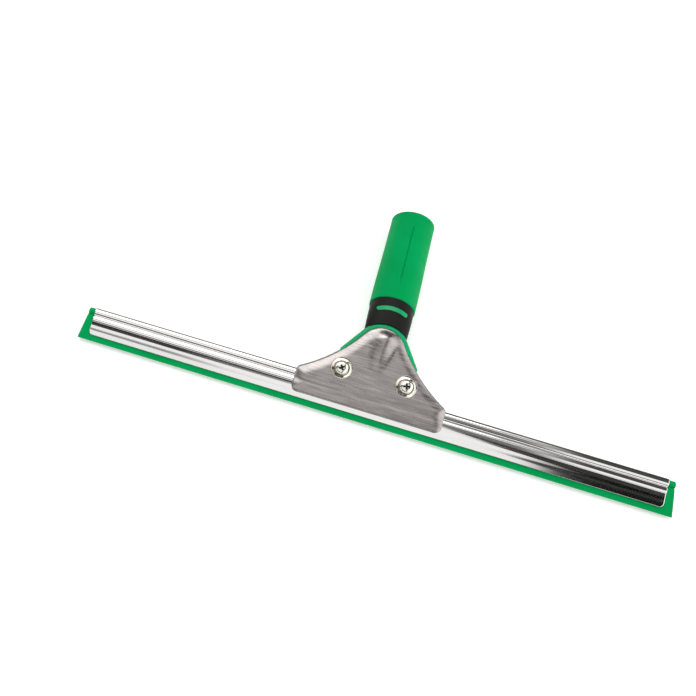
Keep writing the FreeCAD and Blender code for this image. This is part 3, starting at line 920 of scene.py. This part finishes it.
@dataclass
class BladeRubber:
    """The rubber: a bead held in the tube, a neck and a flat blade with slanted ends."""

    place: Matrix
    half_length: float = 230.0
    bead_radius: float = 2.55
    bead_y: float = -3.7
    neck_half: float = 0.8
    shoulder_y: float = -7.5
    blade_half: float = 1.3
    edge_y: float = -27.0
    slant_deg: float = 6.0
    slack: float = 0.02
    along: int = 40

    def section(self) -> List[Vector]:
        """Closed section, starting at the top of the bead.

        Returns:
            The points, once round.
        """
        centre = Vector((0.0, self.bead_y))
        drop = math.sqrt(self.bead_radius**2 - self.neck_half**2)
        neck = Vector((self.neck_half, self.bead_y - drop))
        right = swing(centre, Vector((0.0, self.bead_y + self.bead_radius)), neck, 22)
        right.append(Vector((self.neck_half, self.shoulder_y)))
        shoulder = Vector((self.blade_half, self.shoulder_y))
        edge = Vector((self.blade_half, self.edge_y))
        right += rounded_corner(right[-1], shoulder, edge, 0.25, 3)
        right += [Vector((self.blade_half, y)) for y in (-12.0, -16.0, -20.0, -24.0)]
        right += rounded_corner(shoulder, edge, Vector((0.0, self.edge_y)), 0.12, 2)
        left = [Vector((-point.x, point.y)) for point in reversed(right[1:])]
        return right + left

    def build(self, dresser: Dresser) -> None:
        """Draw the strip out along the blade and cut its ends.

        Args:
            dresser: Dresses the finished pieces and hands them over.
        """
        points = self.section()
        count = len(points)
        piece = Workpiece.ring("rubber_strip", count)
        piece.raise_rings(self.along)
        piece.cap(0)
        piece.cap(self.along)
        slope = math.tan(math.radians(self.slant_deg))

        def place(co: Vector) -> Vector:
            """Set a point on the section, with both ends cut on the slant.

            Args:
                co: A point of the raw mesh.

            Returns:
                Its place in the finished shape.
            """
            point = points[turn_index(co, count)]
            share = 2 * co.z / self.along - 1
            return Vector((point.x, point.y, share * (self.half_length - slope * point.y - self.slack)))

        piece.form(place)
        piece.face_outwards()
        piece.smooth(40.0)
        piece.lay(self.place @ ClampPlace.section())
        dresser.hand_over(piece, "blade_green", Body.BLADE.value, ["rubber_blade"])


# ---------------------------------------------------------------- clamp


@dataclass
class ClampPlate:
    """A pressed plate with a sloping shoulder, a rolled edge and a valley along the jaw."""

    place: Matrix
    name: str
    node: str
    front: bool
    growth: float
    half_width: float = 58.5
    shoulder_y: float = 0.6
    bottom_y: float = -18.1
    apex_y: float = 48.3
    apex_radius: float = 18.5
    flank_radius: float = 122.0
    upper_corner: float = 3.2
    lower_corner: float = 5.0
    face_z: float = 7.5
    rim_z: float = 4.4
    rail_z: float = 2.9
    sheet: float = 1.1
    shoulder_width: float = 8.5
    shoulder_drop: float = 1.9
    jaw_drop: float = 1.2
    roll: float = 1.1
    valley_y: float = -8.6
    valley_depth: float = 0.3
    valley_half: float = 2.4
    rib_foot_y: float = 9.0
    rib_top_y: float = 42.0
    rib_foot_half: float = 7.0
    rib_top_half: float = 13.5
    rib_height: float = 2.3
    # width of the painted shade band along the plate's outline
    edge_shade_width: float = 0.55
    shoulder_curve: float = 1.9
    rivet_ys: Tuple[float, float] = (35.0, 17.0)
    rivet_hole: float = 2.0
    punch_depth: float = 8.0
    screw_x: float = 25.2
    screw_y: float = 8.7
    hole_radius: float = 2.85
    dimple_radius: float = 8.0
    dimple_floor_radius: float = 6.1
    dimple_floor_z: float = 5.6
    middle_y: float = 3.0
    count: int = 288

    def half_outline(self) -> List[Vector]:
        """Right half of the outline, from the apex down to the middle of the bottom edge.

        Returns:
            The points, from the top to the bottom.
        """
        apex = Vector((0.0, self.apex_y - self.apex_radius))
        reach = Vector((self.half_width, self.shoulder_y)) - apex
        first = self.apex_radius + self.flank_radius
        along = (first**2 - self.flank_radius**2 + reach.length_squared) / (2 * reach.length)
        across = math.sqrt(first**2 - along**2)
        unit = reach.normalized()
        flank = apex + unit * along + Vector((-unit.y, unit.x)) * across
        apex_radius = self.apex_radius + self.growth
        flank_radius = self.flank_radius - self.growth
        touch = apex + (flank - apex).normalized() * apex_radius
        corner_y = flank.y - math.sqrt(flank_radius**2 - (flank.x - self.half_width) ** 2)
        corner = Vector((self.half_width, corner_y))
        foot = Vector((self.half_width, self.bottom_y))
        slope = swing(flank, touch, corner, 80)
        bend = rounded_corner(slope[-3], corner, foot, self.upper_corner, 8)
        slope = [point for point in slope if point.x < bend[0].x]
        base = rounded_corner(corner, foot, Vector((0.0, self.bottom_y)), self.lower_corner, 10)
        crown = swing(apex, Vector((0.0, apex.y + apex_radius)), touch, 24)
        return crown[:-1] + slope + bend + base + [Vector((0.0, self.bottom_y))]

    def outline(self, count: int) -> List[Vector]:
        """The whole outline, evenly spaced, clockwise from the apex."""
        half = self.half_outline()
        return evenly(half + [Vector((-point.x, point.y)) for point in reversed(half[1:-1])], count)

    def shares(self) -> List[float]:
        """Size of each ring of the plate, from its rim to its middle."""
        close = [1.0, 1.0] + [1.0 - 0.004 * step for step in range(1, 11)]
        return close + [0.96 - 0.018 * step for step in range(1, 52)]

    def height(self, x: float, y: float, inside: float) -> float:
        """Height of the plate's face.

        Args:
            x: Across the tool.
            y: Up the tool.
            inside: Distance from the outline.

        Returns:
            The height over the rubber's middle plane.
        """
        sloped = ease(-12.0, -3.0, y)
        drop = self.jaw_drop + (self.shoulder_drop - self.jaw_drop) * sloped
        share = min(inside / self.shoulder_width, 1.0)
        z = self.face_z - drop * (1.0 - share) ** self.shoulder_curve
        if inside < self.roll:
            z -= self.roll - math.sqrt(self.roll**2 - (self.roll - inside) ** 2)
        z -= self.valley_depth * math.exp(-(((y - self.valley_y) / self.valley_half) ** 2))
        if self.front:
            climb = ease(self.rib_foot_y, self.rib_top_y - 4.0, y)
            spread = (y - self.rib_foot_y) / (self.rib_top_y - self.rib_foot_y)
            half = self.rib_foot_half + (self.rib_top_half - self.rib_foot_half) * min(max(spread, 0.0), 1.0)
            if abs(x) < half:
                crown = math.cos(math.pi * x / (2 * half)) ** 2
                z += self.rib_height * climb * crown * ease(1.0, 9.0, inside)
        return z

    def border(self) -> KDTree:
        """A finder for the distance to the outline.

        Returns:
            The finder, loaded with points that lie close together.
        """
        finder = KDTree(self.count * 16)
        for index, point in enumerate(self.outline(self.count * 16)):
            finder.insert((point.x, point.y, 0.0), index)
        finder.balance()
        return finder

    def pressed(self, border: KDTree) -> Workpiece:
        """The dish, pressed from rings that follow the outline.

        Args:
            border: Finder for the distance to the outline.

        Returns:
            The plate with its thickness.
        """
        shares, count = self.shares(), self.count
        outline = self.outline(count)
        middle = Vector((0.0, self.middle_y))
        piece = Workpiece.ring(self.name, count)
        piece.raise_rings(len(shares))
        piece.gather(len(shares))

        def place(co: Vector) -> Vector:
            """Press a point of the flat rings into the dish.

            Args:
                co: A point of the raw mesh.

            Returns:
                Its place in the finished shape.
            """
            level = round(co.z)
            if level == len(shares):
                return Vector((middle.x, middle.y, self.height(middle.x, middle.y, 2 * self.shoulder_width)))
            edge = outline[turn_index(co, count)]
            spot = middle + (edge - middle) * shares[level]
            if level == 0:
                at_lip = 1.0 if edge.y < self.bottom_y + 0.05 else 0.0
                rail = at_lip * (1.0 - ease(50.0, 53.0, abs(edge.x)))
                return Vector((spot.x, spot.y, self.rim_z - (self.rim_z - self.rail_z) * rail))
            inside = border.find((spot.x, spot.y, 0.0))[2] if level > 1 else 0.0
            return Vector((spot.x, spot.y, self.height(spot.x, spot.y, inside)))

        piece.form(place)
        piece.turn_sheet(lambda centre, normal: normal.z)
        piece.wall(self.sheet)
        return piece

    def in_cup(self, centre: Vector, normal: Vector) -> bool:
        """Whether a face lies in the cup round a screw, painted lighter as a highlight."""
        away = math.hypot(abs(centre.x) - self.screw_x, centre.y - self.screw_y)
        return away < self.dimple_radius - 0.15

    def dimple(self, x: float) -> Workpiece:
        """The cup under one screw, with a fine raised rim.

        Args:
            x: Where the screw stands, across the tool.

        Returns:
            The cup.
        """
        top, floor, face, back = self.dimple_radius, self.dimple_floor_radius, self.face_z, self.rim_z
        profile = [
            (self.hole_radius, back + 0.1),
            (self.hole_radius, self.dimple_floor_z - 0.15),
            (self.hole_radius + 0.15, self.dimple_floor_z),
            (floor - 1.5, self.dimple_floor_z),
            (floor - 1.1, self.dimple_floor_z + 0.08),
            (floor - 0.6, self.dimple_floor_z + 0.34),
            (floor + 0.2, self.dimple_floor_z + 0.84),
            (floor + 1.0, self.dimple_floor_z + 1.34),
            (top - 0.3, face - 0.22),
            (top - 0.05, face - 0.06),
            (top + 0.2, face + 0.06),
            (top + 0.45, face + 0.04),
            (top + 0.6, face - 0.12),
            (top + 0.4, face - 1.0),
            (floor + 0.9, back + 0.3),
            (floor + 0.2, back + 0.1),
        ]
        cup = turned("dimple", profile, 96, True)
        cup.lay(Matrix.Translation((x, self.screw_y, 0.0)))
        return cup

    def build(self, dresser: Dresser) -> None:
        """Press the plate, punch its holes, add the dimples and lay it on its side.

        Args:
            dresser: Dresses the finished pieces and hands them over.
        """
        border = self.border()
        piece = self.pressed(border)
        radius = self.dimple_radius + 0.1 if self.front else self.hole_radius
        for side in Side:
            spot = Vector((side.value * self.screw_x, self.screw_y, self.face_z - 1.0))
            piece.punch(Workpiece.rod("punch", radius, spot, self.punch_depth))
        if not self.front:
            for y in self.rivet_ys:
                spot = Vector((0.0, y, self.face_z - 1.0))
                piece.punch(Workpiece.rod("punch", self.rivet_hole, spot, self.punch_depth))
        piece.smooth(32.0)
        if self.front:
            cups = [self.dimple(side.value * self.screw_x) for side in Side]
            for cup in cups:
                cup.smooth(50.0)
            piece.take_in(cups)
        else:
            piece.lay(Matrix.Scale(-1.0, 4, (0.0, 0.0, 1.0)))
            piece.face_outwards()
        # faces near the outline get the darker steel: painted shade along the plate's edge
        edges = piece.faces(lambda co, normal: border.find((co.x, co.y, 0.0))[2] < self.edge_shade_width)
        # the cups round the screws get the screws' light steel: painted highlight on the plate
        cups = piece.faces(self.in_cup)
        piece.lay(self.place)
        dresser.hand_over(piece, "plate_steel", Body.TOOL.value, [self.node])
        dresser.trim(piece, "edge_painted_shade", edges)
        dresser.trim(piece, "screw_steel", cups)


@dataclass
class ClampScrew:
    """A pan-head screw with a tapered cross recess, and the spring washer under it."""

    place: Matrix
    side: Side
    x: float = 25.2
    y: float = 8.7
    seat_z: float = 6.8
    head_radius: float = 5.1
    head_height: float = 3.4
    shank_radius: float = 2.45
    tip_z: float = -3.6
    thread_pitch: float = 0.8
    thread_depth: float = 0.3
    recess_span: float = 5.6
    recess_width: float = 1.75
    recess_depth: float = 2.4
    recess_taper: float = 0.72
    washer_radius: float = 4.6
    washer_height: float = 1.2
    washer_bore: float = 2.5

    def head_profile(self) -> List[Tuple[float, float]]:
        """Radius and height from the tip to the crown.

        Returns:
            Radius and height of each ring.
        """
        profile = [(self.shank_radius - 0.6, self.tip_z), (self.shank_radius - 0.3, self.tip_z + 0.3)]
        z = self.tip_z + 0.5
        while z < self.seat_z - 2.0:
            profile.append((self.shank_radius, z))
            profile.append((self.shank_radius - self.thread_depth, z + self.thread_pitch / 2))
            z += self.thread_pitch
        profile.append((self.shank_radius, self.seat_z - 1.0))
        profile.append((self.shank_radius, self.seat_z))
        low = self.head_height * 0.36
        profile += [(self.head_radius - 0.15, self.seat_z), (self.head_radius, self.seat_z + 0.15)]
        profile.append((self.head_radius, self.seat_z + low))
        for step in range(1, 10):
            angle = math.radians(10.0 * step)
            radius = self.head_radius * math.cos(angle) ** 0.55
            profile.append((radius, self.seat_z + low + (self.head_height - low) * math.sin(angle)))
        profile[-1] = (0.35, self.seat_z + self.head_height)
        return profile

    def recess(self) -> Workpiece:
        """The cross that is sunk into the head.

        Returns:
            The tool that cuts the cross.
        """
        top = self.seat_z + self.head_height
        arms = []
        for across in (True, False):
            wide, narrow = self.recess_span, self.recess_width
            x, y = (wide, narrow) if across else (narrow, wide)
            size = Vector((x, y, 2 * self.recess_depth))
            arm = Workpiece.block("cross_arm", size, Vector((0.0, 0.0, top)))
            arm.pick(lambda co: co.z < top)
            narrowing = (self.recess_taper, self.recess_taper, 1.0)
            bpy.ops.transform.resize(value=narrowing, center_override=(0.0, 0.0, top))
            arm.clear_bench()
            arms.append(arm)
        arms[0].combine("UNION", arms[1])
        return arms[0]

    def build(self, dresser: Dresser) -> None:
        """Turn the screw and spin the washer.

        Args:
            dresser: Dresses the finished pieces and hands them over.
        """
        word, spot = self.side.word, Matrix.Translation((self.side.value * self.x, self.y, 0.0))
        screw = turned("screw_" + word, self.head_profile(), 72, False)
        screw.punch(self.recess())
        screw.smooth(38.0)
        top, span = self.seat_z + self.head_height, self.recess_span / 2
        low = top - self.recess_depth * 1.05

        def in_cross(co: Vector, normal: Vector) -> bool:
            """Whether a face lies in the sunk cross.

            Args:
                co: The face's centre.
                normal: Its normal.

            Returns:
                True for a wall or the floor of the cross.
            """
            steep = co.z < top - 0.02 and normal.z < 0.45
            return low < co.z and co.xy.length < span and (steep or co.z < top - 0.9)

        # the walls and floor of the sunk cross get the dark finish: painted shade in the recess
        sunk = screw.faces(in_cross)
        turn = Matrix.Rotation(math.radians(32.0 if self.side is Side.LEFT else 12.0), 4, "Z")
        screw.lay(self.place @ spot @ turn)
        dresser.hand_over(screw, "screw_steel", "screw_" + word, ["clamp_screw_" + word])
        dresser.trim(screw, "recess_painted_shade", sunk)
        washer = self.washer("spring_washer_" + word)
        washer.lay(self.place @ spot)
        dresser.hand_over(washer, "hidden_steel", "washer_" + word, ["lock_washer_" + word])

    def washer(self, name: str) -> Workpiece:
        """A split ring, spun from a square bar.

        Args:
            name: Name of the piece.

        Returns:
            The washer, round the axis of its own drawing.
        """
        base, height = self.seat_z - self.washer_height, self.washer_height - 0.1
        width = self.washer_radius - self.washer_bore
        middle = Vector((self.washer_bore + width / 2, 0.0, base + self.washer_height / 2))
        piece = Workpiece.block(name, Vector((width, 0.02, height)), middle)
        piece.pick(lambda co: co.y > 0)
        turn = math.radians(352.0)
        bpy.ops.mesh.spin(steps=60, angle=turn, center=(0.0, 0.0, 0.0), axis=(0.0, 0.0, 1.0))
        piece.face_outwards()
        piece.soften(0.12, 2, 60.0)
        piece.smooth(35.0)
        return piece


# ---------------------------------------------------------------- handle


@dataclass
class Grip:
    """The soft oval sleeve with its round end, its lip and the slim groove on its crest."""

    place: Matrix
    sections: Tuple[Tuple[float, float, float], ...] = (
        (28.0, 18.4, 15.5),
        (50.0, 18.6, 15.6),
        (92.0, 18.4, 15.2),
        (120.0, 18.6, 14.7),
        (128.0, 18.8, 14.9),
    )
    lip: float = 0.7
    end_fillet: float = 2.0
    bore: Tuple[float, float] = (15.35, 12.45)
    mouth: Tuple[float, float] = (14.95, 12.25)
    groove_low: float = 40.0
    groove_high: float = 113.0
    groove_half: float = 0.85
    groove_depth: float = 0.85
    run_in: float = 16.0
    run_out: float = 5.0
    dent_half: float = 2.6
    dent_depth: float = 0.24
    steps: int = 52
    count: int = 288

    def half_widths(self, s: float) -> Tuple[float, float]:
        """Half width and half depth of the outside at a distance along the axis.

        Args:
            s: Distance along the handle's axis.

        Returns:
            Half width and half depth.
        """
        pairs = list(zip(self.sections, self.sections[1:]))
        for (low, wide_a, deep_a), (high, wide_b, deep_b) in pairs:
            if s <= high or high == self.sections[-1][0]:
                share = ease(low, high, s)
                return wide_a + (wide_b - wide_a) * share, deep_a + (deep_b - deep_a) * share
        return self.sections[-1][1:]

    def rings(self) -> List[Tuple[float, float, float]]:
        """Distance, half width and half depth of every ring, outside and then back inside.

        Returns:
            The three numbers of each ring.
        """
        start, end = self.sections[0][0], self.sections[-1][0]
        rings = [(start, *self.bore), (start, self.bore[0] + 0.6, self.bore[1] + 0.6)]
        for step in range(5):
            angle = math.radians(22.5 * step)
            inset = self.lip * (1 - math.sin(angle))
            wide, deep = self.half_widths(start)
            rings.append((start + self.lip * (1 - math.cos(angle)), wide - inset, deep - inset))
        first, span = start + self.lip, end - self.end_fillet - start - self.lip
        stations = [first + span * step / self.steps for step in range(1, self.steps + 1)]
        rings += [(s, *self.half_widths(s)) for s in stations]
        wide, deep = self.half_widths(end)
        for step in range(1, 7):
            angle = math.radians(15.0 * step)
            inset = self.end_fillet * (1 - math.cos(angle))
            rings.append((end - self.end_fillet * (1 - math.sin(angle)), wide - inset, deep - inset))
        rings += [(end - 0.1, self.mouth[0] + 0.1, self.mouth[1] + 0.1), (end - 0.3, *self.mouth)]
        return rings + [(end - 1.0, *self.mouth), (start + 1.0, *self.bore)]

    def groove(self, x: float, s: float) -> float:
        """How deep the groove is at a point of the crest.

        Args:
            x: Across the grip.
            s: Distance along the handle's axis.

        Returns:
            The depth.
        """
        begun = ease(self.groove_low, self.groove_low + self.run_in, s)
        ended = ease(self.groove_high - self.run_out, self.groove_high, s)
        narrow = max(1.0 - abs(x) / self.groove_half, 0.0)
        wide = math.exp(-((x / self.dent_half) ** 2))
        return begun * (1.0 - ended) * (self.groove_depth * narrow + self.dent_depth * wide)

    def build(self, dresser: Dresser) -> None:
        """Draw the sleeve ring by ring, sink its groove and dress it.

        Args:
            dresser: Dresses the finished pieces and hands them over.
        """
        rings = self.rings()
        outside = len(rings) - 4
        piece = Workpiece.ring("grip_soft_sleeve", self.count)
        piece.raise_rings(len(rings) - 1)
        piece.join_rings(0, len(rings) - 1)

        def place(co: Vector) -> Vector:
            """Set a point on the grip's oval and sink the groove.

            Args:
                co: A point of the raw mesh.

            Returns:
                Its place in the finished shape.
            """
            level = round(co.z)
            s, wide, deep = rings[level]
            x, y = co.x * wide, co.y * deep
            if co.y < 0 and abs(x) < 8.0 and 1 < level < outside:
                y += self.groove(x, s)
            return Vector((x, y, s))

        piece.form(place)
        piece.face_outwards()
        piece.smooth(40.0)
        piece.lay(self.place)
        dresser.hand_over(piece, "grip_green", Body.TOOL.value, ["grip_sleeve"])


@dataclass
class Core:
    """The hard core: a tongue between the plates, the neck, the shaft and the pole socket."""

    place: Matrix
    handle: Matrix
    rim_z: float = 4.35
    trim_radius: float = 21.7
    trim_centre_y: float = 29.8
    trim_end: Tuple[float, float] = (30.6, 24.0)
    tongue: Tuple[Tuple[float, float], ...] = ((30.0, 17.5), (44.0, 6.2), (52.0, 1.4))
    edge_round: float = 1.7
    shaft: Tuple[float, float] = (15.3, 12.4)
    shaft_end: Tuple[float, float] = (14.7, 12.0)
    ring_s: float = 28.0
    end_s: float = 127.2
    socket_radius: float = 10.5
    lead_in: float = 1.0
    socket_depth: float = 50.0
    tip_radius: float = 7.0
    tip_depth: float = 70.0
    tongue_middle_y: float = 14.0
    neck: Tuple[Tuple[float, ...], ...] = (
        (41.0, 0.0, 0.0, 14.0, 4.2, 3.0),
        (46.0, -2.0, 5.0, 14.3, 5.4, 2.8),
        (52.0, -4.2, 10.0, 14.8, 7.0, 2.5),
    )

    def outline(self) -> List[Vector]:
        """Outline of the tongue, clockwise from its crown.

        Returns:
            The points, once round.
        """
        centre = Vector((0.0, self.trim_centre_y))
        end = Vector(self.trim_end)
        gap = end - centre
        angle = math.atan2(gap.y, gap.x) + math.acos(self.trim_radius / gap.length)
        touch = centre + Vector((math.cos(angle), math.sin(angle))) * self.trim_radius
        crown = swing(centre, centre + Vector((0.0, self.trim_radius)), touch, 30)
        right = crown + [touch.lerp(end, step / 6) for step in range(1, 7)] + [Vector(p) for p in self.tongue]
        return right + [Vector((-point.x, point.y)) for point in reversed(right[1:])]

    def tongue_piece(self) -> Workpiece:
        """The flat tongue with its rounded edge.

        Returns:
            The tongue.
        """
        points = self.outline()
        count = len(points)
        rows = [(0, 0.0)] + [(angle, self.edge_round) for angle in range(0, 91, 15)]
        levels = [(-self.rim_z, self.edge_round)]
        for degrees, radius in rows[1:]:
            turn = math.radians(degrees)
            levels.append((-self.rim_z + radius * (1 - math.cos(turn)), radius * (1 - math.sin(turn))))
        levels += [(-z, inset) for z, inset in reversed(levels)]
        piece = Workpiece.ring("core_tongue", count)
        piece.raise_rings(len(levels) - 1)
        piece.cap(0)
        piece.cap(len(levels) - 1)
        centre = Vector((0.0, self.tongue_middle_y))

        def place(co: Vector) -> Vector:
            """Set a point on the outline, drawn in towards both faces.

            Args:
                co: A point of the raw mesh.

            Returns:
                Its place in the finished shape.
            """
            z, inset = levels[round(co.z)]
            point = points[turn_index(co, count)]
            crown = Vector((0.0, self.trim_centre_y))
            away = point - (crown if point.y > self.trim_centre_y else centre)
            spot = point - away.normalized() * inset
            return Vector((spot.x, spot.y, z))

        piece.form(place)
        piece.face_outwards()
        piece.smooth(35.0)
        return piece

    def neck_and_shaft(self) -> Workpiece:
        """Neck, shaft and socket in one shell.

        A neck section gives its Y, Z and lean in the clamp, then half width, half depth and the
        power that squares its oval. A row gives its distance along the handle's axis, half width
        and half depth.

        Returns:
            The shell.
        """
        sections, bore = self.neck, self.socket_radius
        rows = [
            (self.ring_s, *self.shaft),
            (self.end_s - 0.6, *self.shaft_end),
            (self.end_s, self.shaft_end[0] - 0.5, self.shaft_end[1] - 0.4),
            (self.end_s, bore + self.lead_in, bore + self.lead_in),
            (self.end_s - self.lead_in, bore, bore),
            (self.end_s - self.socket_depth, bore, bore),
            (self.end_s - self.tip_depth, self.tip_radius, self.tip_radius),
        ]
        piece = Workpiece.ring("core_shaft", 144)
        last = len(sections) + len(rows) - 1
        piece.raise_rings(last)
        piece.cap(0)
        piece.cap(last)

        def bulged(co: Vector, wide: float, deep: float, power: float) -> Tuple[float, float]:
            """Swell the unit ring to a squared oval.

            Args:
                co: A point of the unit ring.
                wide: Half width.
                deep: Half depth.
                power: 2 gives an oval, more squares it.

            Returns:
                The point on the squared oval.
            """
            x = math.copysign(abs(co.x) ** (2 / power), co.x) * wide
            return x, math.copysign(abs(co.y) ** (2 / power), co.y) * deep

        def place(co: Vector) -> Vector:
            """Set a point on its own section or row.

            Args:
                co: A point of the raw mesh.

            Returns:
                Its place in the finished shape.
            """
            level = round(co.z)
            if level < len(sections):
                y, z, tilt, wide, deep, power = sections[level]
                x, back = bulged(co, wide, deep, power)
                lean = math.radians(tilt)
                return Vector((x, y - back * math.sin(lean), z - back * math.cos(lean)))
            s, wide, deep = rows[level - len(sections)]
            x, back = bulged(co, wide, deep, 2.0)
            return self.handle @ Vector((x, back, s))

        piece.form(place)
        piece.face_outwards()
        piece.smooth(35.0)
        return piece

    def build(self, dresser: Dresser) -> None:
        """Join the tongue and the shaft and dress them.

        Args:
            dresser: Dresses the finished pieces and hands them over.
        """
        piece = self.tongue_piece()
        piece.take_in([self.neck_and_shaft()])
        piece.item.name = "core_moulding"
        piece.lay(self.place)
        dresser.hand_over(piece, "core_green", Body.TOOL.value, ["handle_core"])


# ---------------------------------------------------------------- studio


@dataclass
class Studio:
    """Pale floor, soft light and the camera."""

    camera_at: Tuple[float, float, float] = (-0.0311, -0.3415, 0.5362)
    camera_turn: Tuple[float, float, float] = (30.383, -2.382, 17.497)
    lens: float = 39.1
    shift: Tuple[float, float] = (0.1349, -0.0395)
    floor_half: float = 6.0
    floor_glow: float = 0.3
    backdrop: float = 1.1

    def floor(self) -> None:
        """A plain pale floor with the faintest mottling."""
        Workpiece.clear_bench()
        bpy.ops.mesh.primitive_plane_add(size=2 * self.floor_half)
        ground = bpy.context.object
        ground.name = "floor"
        material, desk = new_desk("floor_pale")
        tone = desk.noise((3.0, 3.0, 3.0), 2.0).step(0.3, 0.7)
        desk.surface(
            {
                "Base Color": desk.blend(tone, (0.86, 0.86, 0.86), (0.88, 0.88, 0.88)),
                "Roughness": 0.9,
                "Emission Color": (1.0, 1.0, 1.0, 1.0),
                "Emission Strength": self.floor_glow,
            }
        )
        ground.data.materials.append(material)

    def sky(self) -> None:
        """The studio's surroundings: a white tent with dark bands that only reflections show."""
        world = bpy.data.worlds.new("studio")
        world.use_nodes = True
        bpy.context.scene.world = world
        desk = Desk(world.node_tree)
        way = desk.node("ShaderNodeTexCoord", {}, {}, "Generated")
        split = desk.node("ShaderNodeSeparateXYZ", {}, {"Vector": way}, "X")
        x, y = split, Signal(desk, split.socket.node.outputs["Y"])
        z = Signal(desk, split.socket.node.outputs["Z"])
        right = x.step(0.10, 0.16) * (1.0 - x.step(0.42, 0.46))
        far = x.step(0.24, 0.32) * right
        near = right * (1.0 - x.step(0.24, 0.32))
        left = 1.0 - x.step(-0.02, 0.04)
        edge = 1.0 - x.step(-0.22, -0.12)
        low_back = y.step(0.6, 0.66) * (1.0 - z.step(0.68, 0.78))
        low_front = (1.0 - (y - 0.1 * left).step(-0.88, -0.82)) * (1.0 - (z - 0.2 * left).step(0.26, 0.36))
        left_stripe = left * y.step(-0.36, -0.33) * (1.0 - (y + 0.12 * x).step(-0.278, -0.262))
        left_faint = edge * y.step(-0.3, -0.26) * (1.0 - y.step(-0.235, -0.225))
        right_wedge = right * y.step(-0.36, -0.31) * (1.0 - (y - 0.6 * x).step(-0.39, -0.375))
        far_panel = far * y.step(-0.24, -0.2) * (1.0 - y.step(0.7, 0.8))
        near_panel = near * y.step(-0.1, 0.0) * (1.0 - y.step(0.3, 0.36))
        near_front = near * (1.0 - y.step(-0.36, -0.33))
        shades = (
            0.9 * low_back,
            0.9 * low_front,
            0.94 * left_stripe,
            0.6 * left_faint,
            0.96 * right_wedge,
            0.93 * far_panel,
            0.6 * near_panel,
            0.8 * near_front,
            0.55 * (1.0 - x.step(-0.6, -0.45)),
        )
        back_left_glow = (1.0 - x.step(-0.14, 0.0)) * y.step(-0.14, 0.02)
        strength = 1.0 + 1.7 * back_left_glow + 0.7 * x.step(0.46, 0.52)
        for shade in shades:
            strength = strength * (1.0 - shade)
        seen = desk.node("ShaderNodeLightPath", {}, {}, "Is Camera Ray")
        strength = strength * (1.0 - seen) + self.backdrop * seen
        inputs = {"Color": (1.0, 0.995, 0.985, 1.0), "Strength": strength}
        shader = desk.node("ShaderNodeBackground", {}, inputs)
        desk.node("ShaderNodeOutputWorld", {}, {"Surface": shader})

    def lamp(self, name: str, spot: Vector, size: float, power: float) -> None:
        """One soft lamp aimed at the tool.

        Args:
            name: The lamp's name.
            spot: Where it hangs.
            size: Its diameter.
            power: Its power in watts.
        """
        data = bpy.data.lights.new(name, "AREA")
        data.shape, data.size, data.energy = "DISK", size, power
        item = bpy.data.objects.new(name, data)
        item.location = spot
        item.rotation_euler = (-spot).to_track_quat("-Z", "Y").to_euler()
        bpy.context.scene.collection.objects.link(item)

    def camera(self) -> None:
        """The camera at its angle."""
        data = bpy.data.cameras.new("camera")
        data.lens, data.sensor_width = self.lens, 36.0
        data.shift_x, data.shift_y = self.shift
        data.clip_start = 0.01
        item = bpy.data.objects.new("camera", data)
        item.location = self.camera_at
        item.rotation_euler = [math.radians(angle) for angle in self.camera_turn]
        bpy.context.scene.collection.objects.link(item)
        bpy.context.scene.camera = item

    def build(self) -> None:
        """Set everything up."""
        self.floor()
        self.sky()
        self.lamp("key_lamp", Vector((0.03, 0.5, 1.35)), 0.8, 3.0)
        self.camera()
        bpy.context.scene.view_settings.view_transform = "Standard"


KEPT_NODES = {
    "neck_collar": "collar_black",
    "collar_inlay": "core_green",
    "front_jaw_pad": "pad_black",
    "back_jaw_pad": "pad_black",
    "captive_nut_left": "hidden_steel",
    "captive_nut_right": "hidden_steel",
    "core_rivet_upper": "hidden_steel",
    "core_rivet_lower": "hidden_steel",
    "end_clip_left": "clip_plastic",
    "end_clip_right": "clip_plastic",
}


def main() -> None:
    """Build every piece in order."""
    logging.basicConfig(level=logging.INFO, format="%(message)s")
    place = ClampPlace()
    clamp = place.matrix(frame["joints"])
    dresser = Dresser({})
    Studio().build()
    BladeChannel(clamp).build(dresser)
    BladeRubber(clamp).build(dresser)
    ClampPlate(clamp, "clamp_plate_front", "front_clamp_plate", True, 0.0).build(dresser)
    ClampPlate(clamp, "clamp_plate_back", "back_clamp_plate", False, 1.4).build(dresser)
    for side in Side:
        ClampScrew(clamp, side).build(dresser)
    Grip(clamp @ place.handle()).build(dresser)
    Core(clamp, place.handle()).build(dresser)
    for node, slot in KEPT_NODES.items():
        dresser.keep(node, slot)


if __name__ == "__main__":
    main()
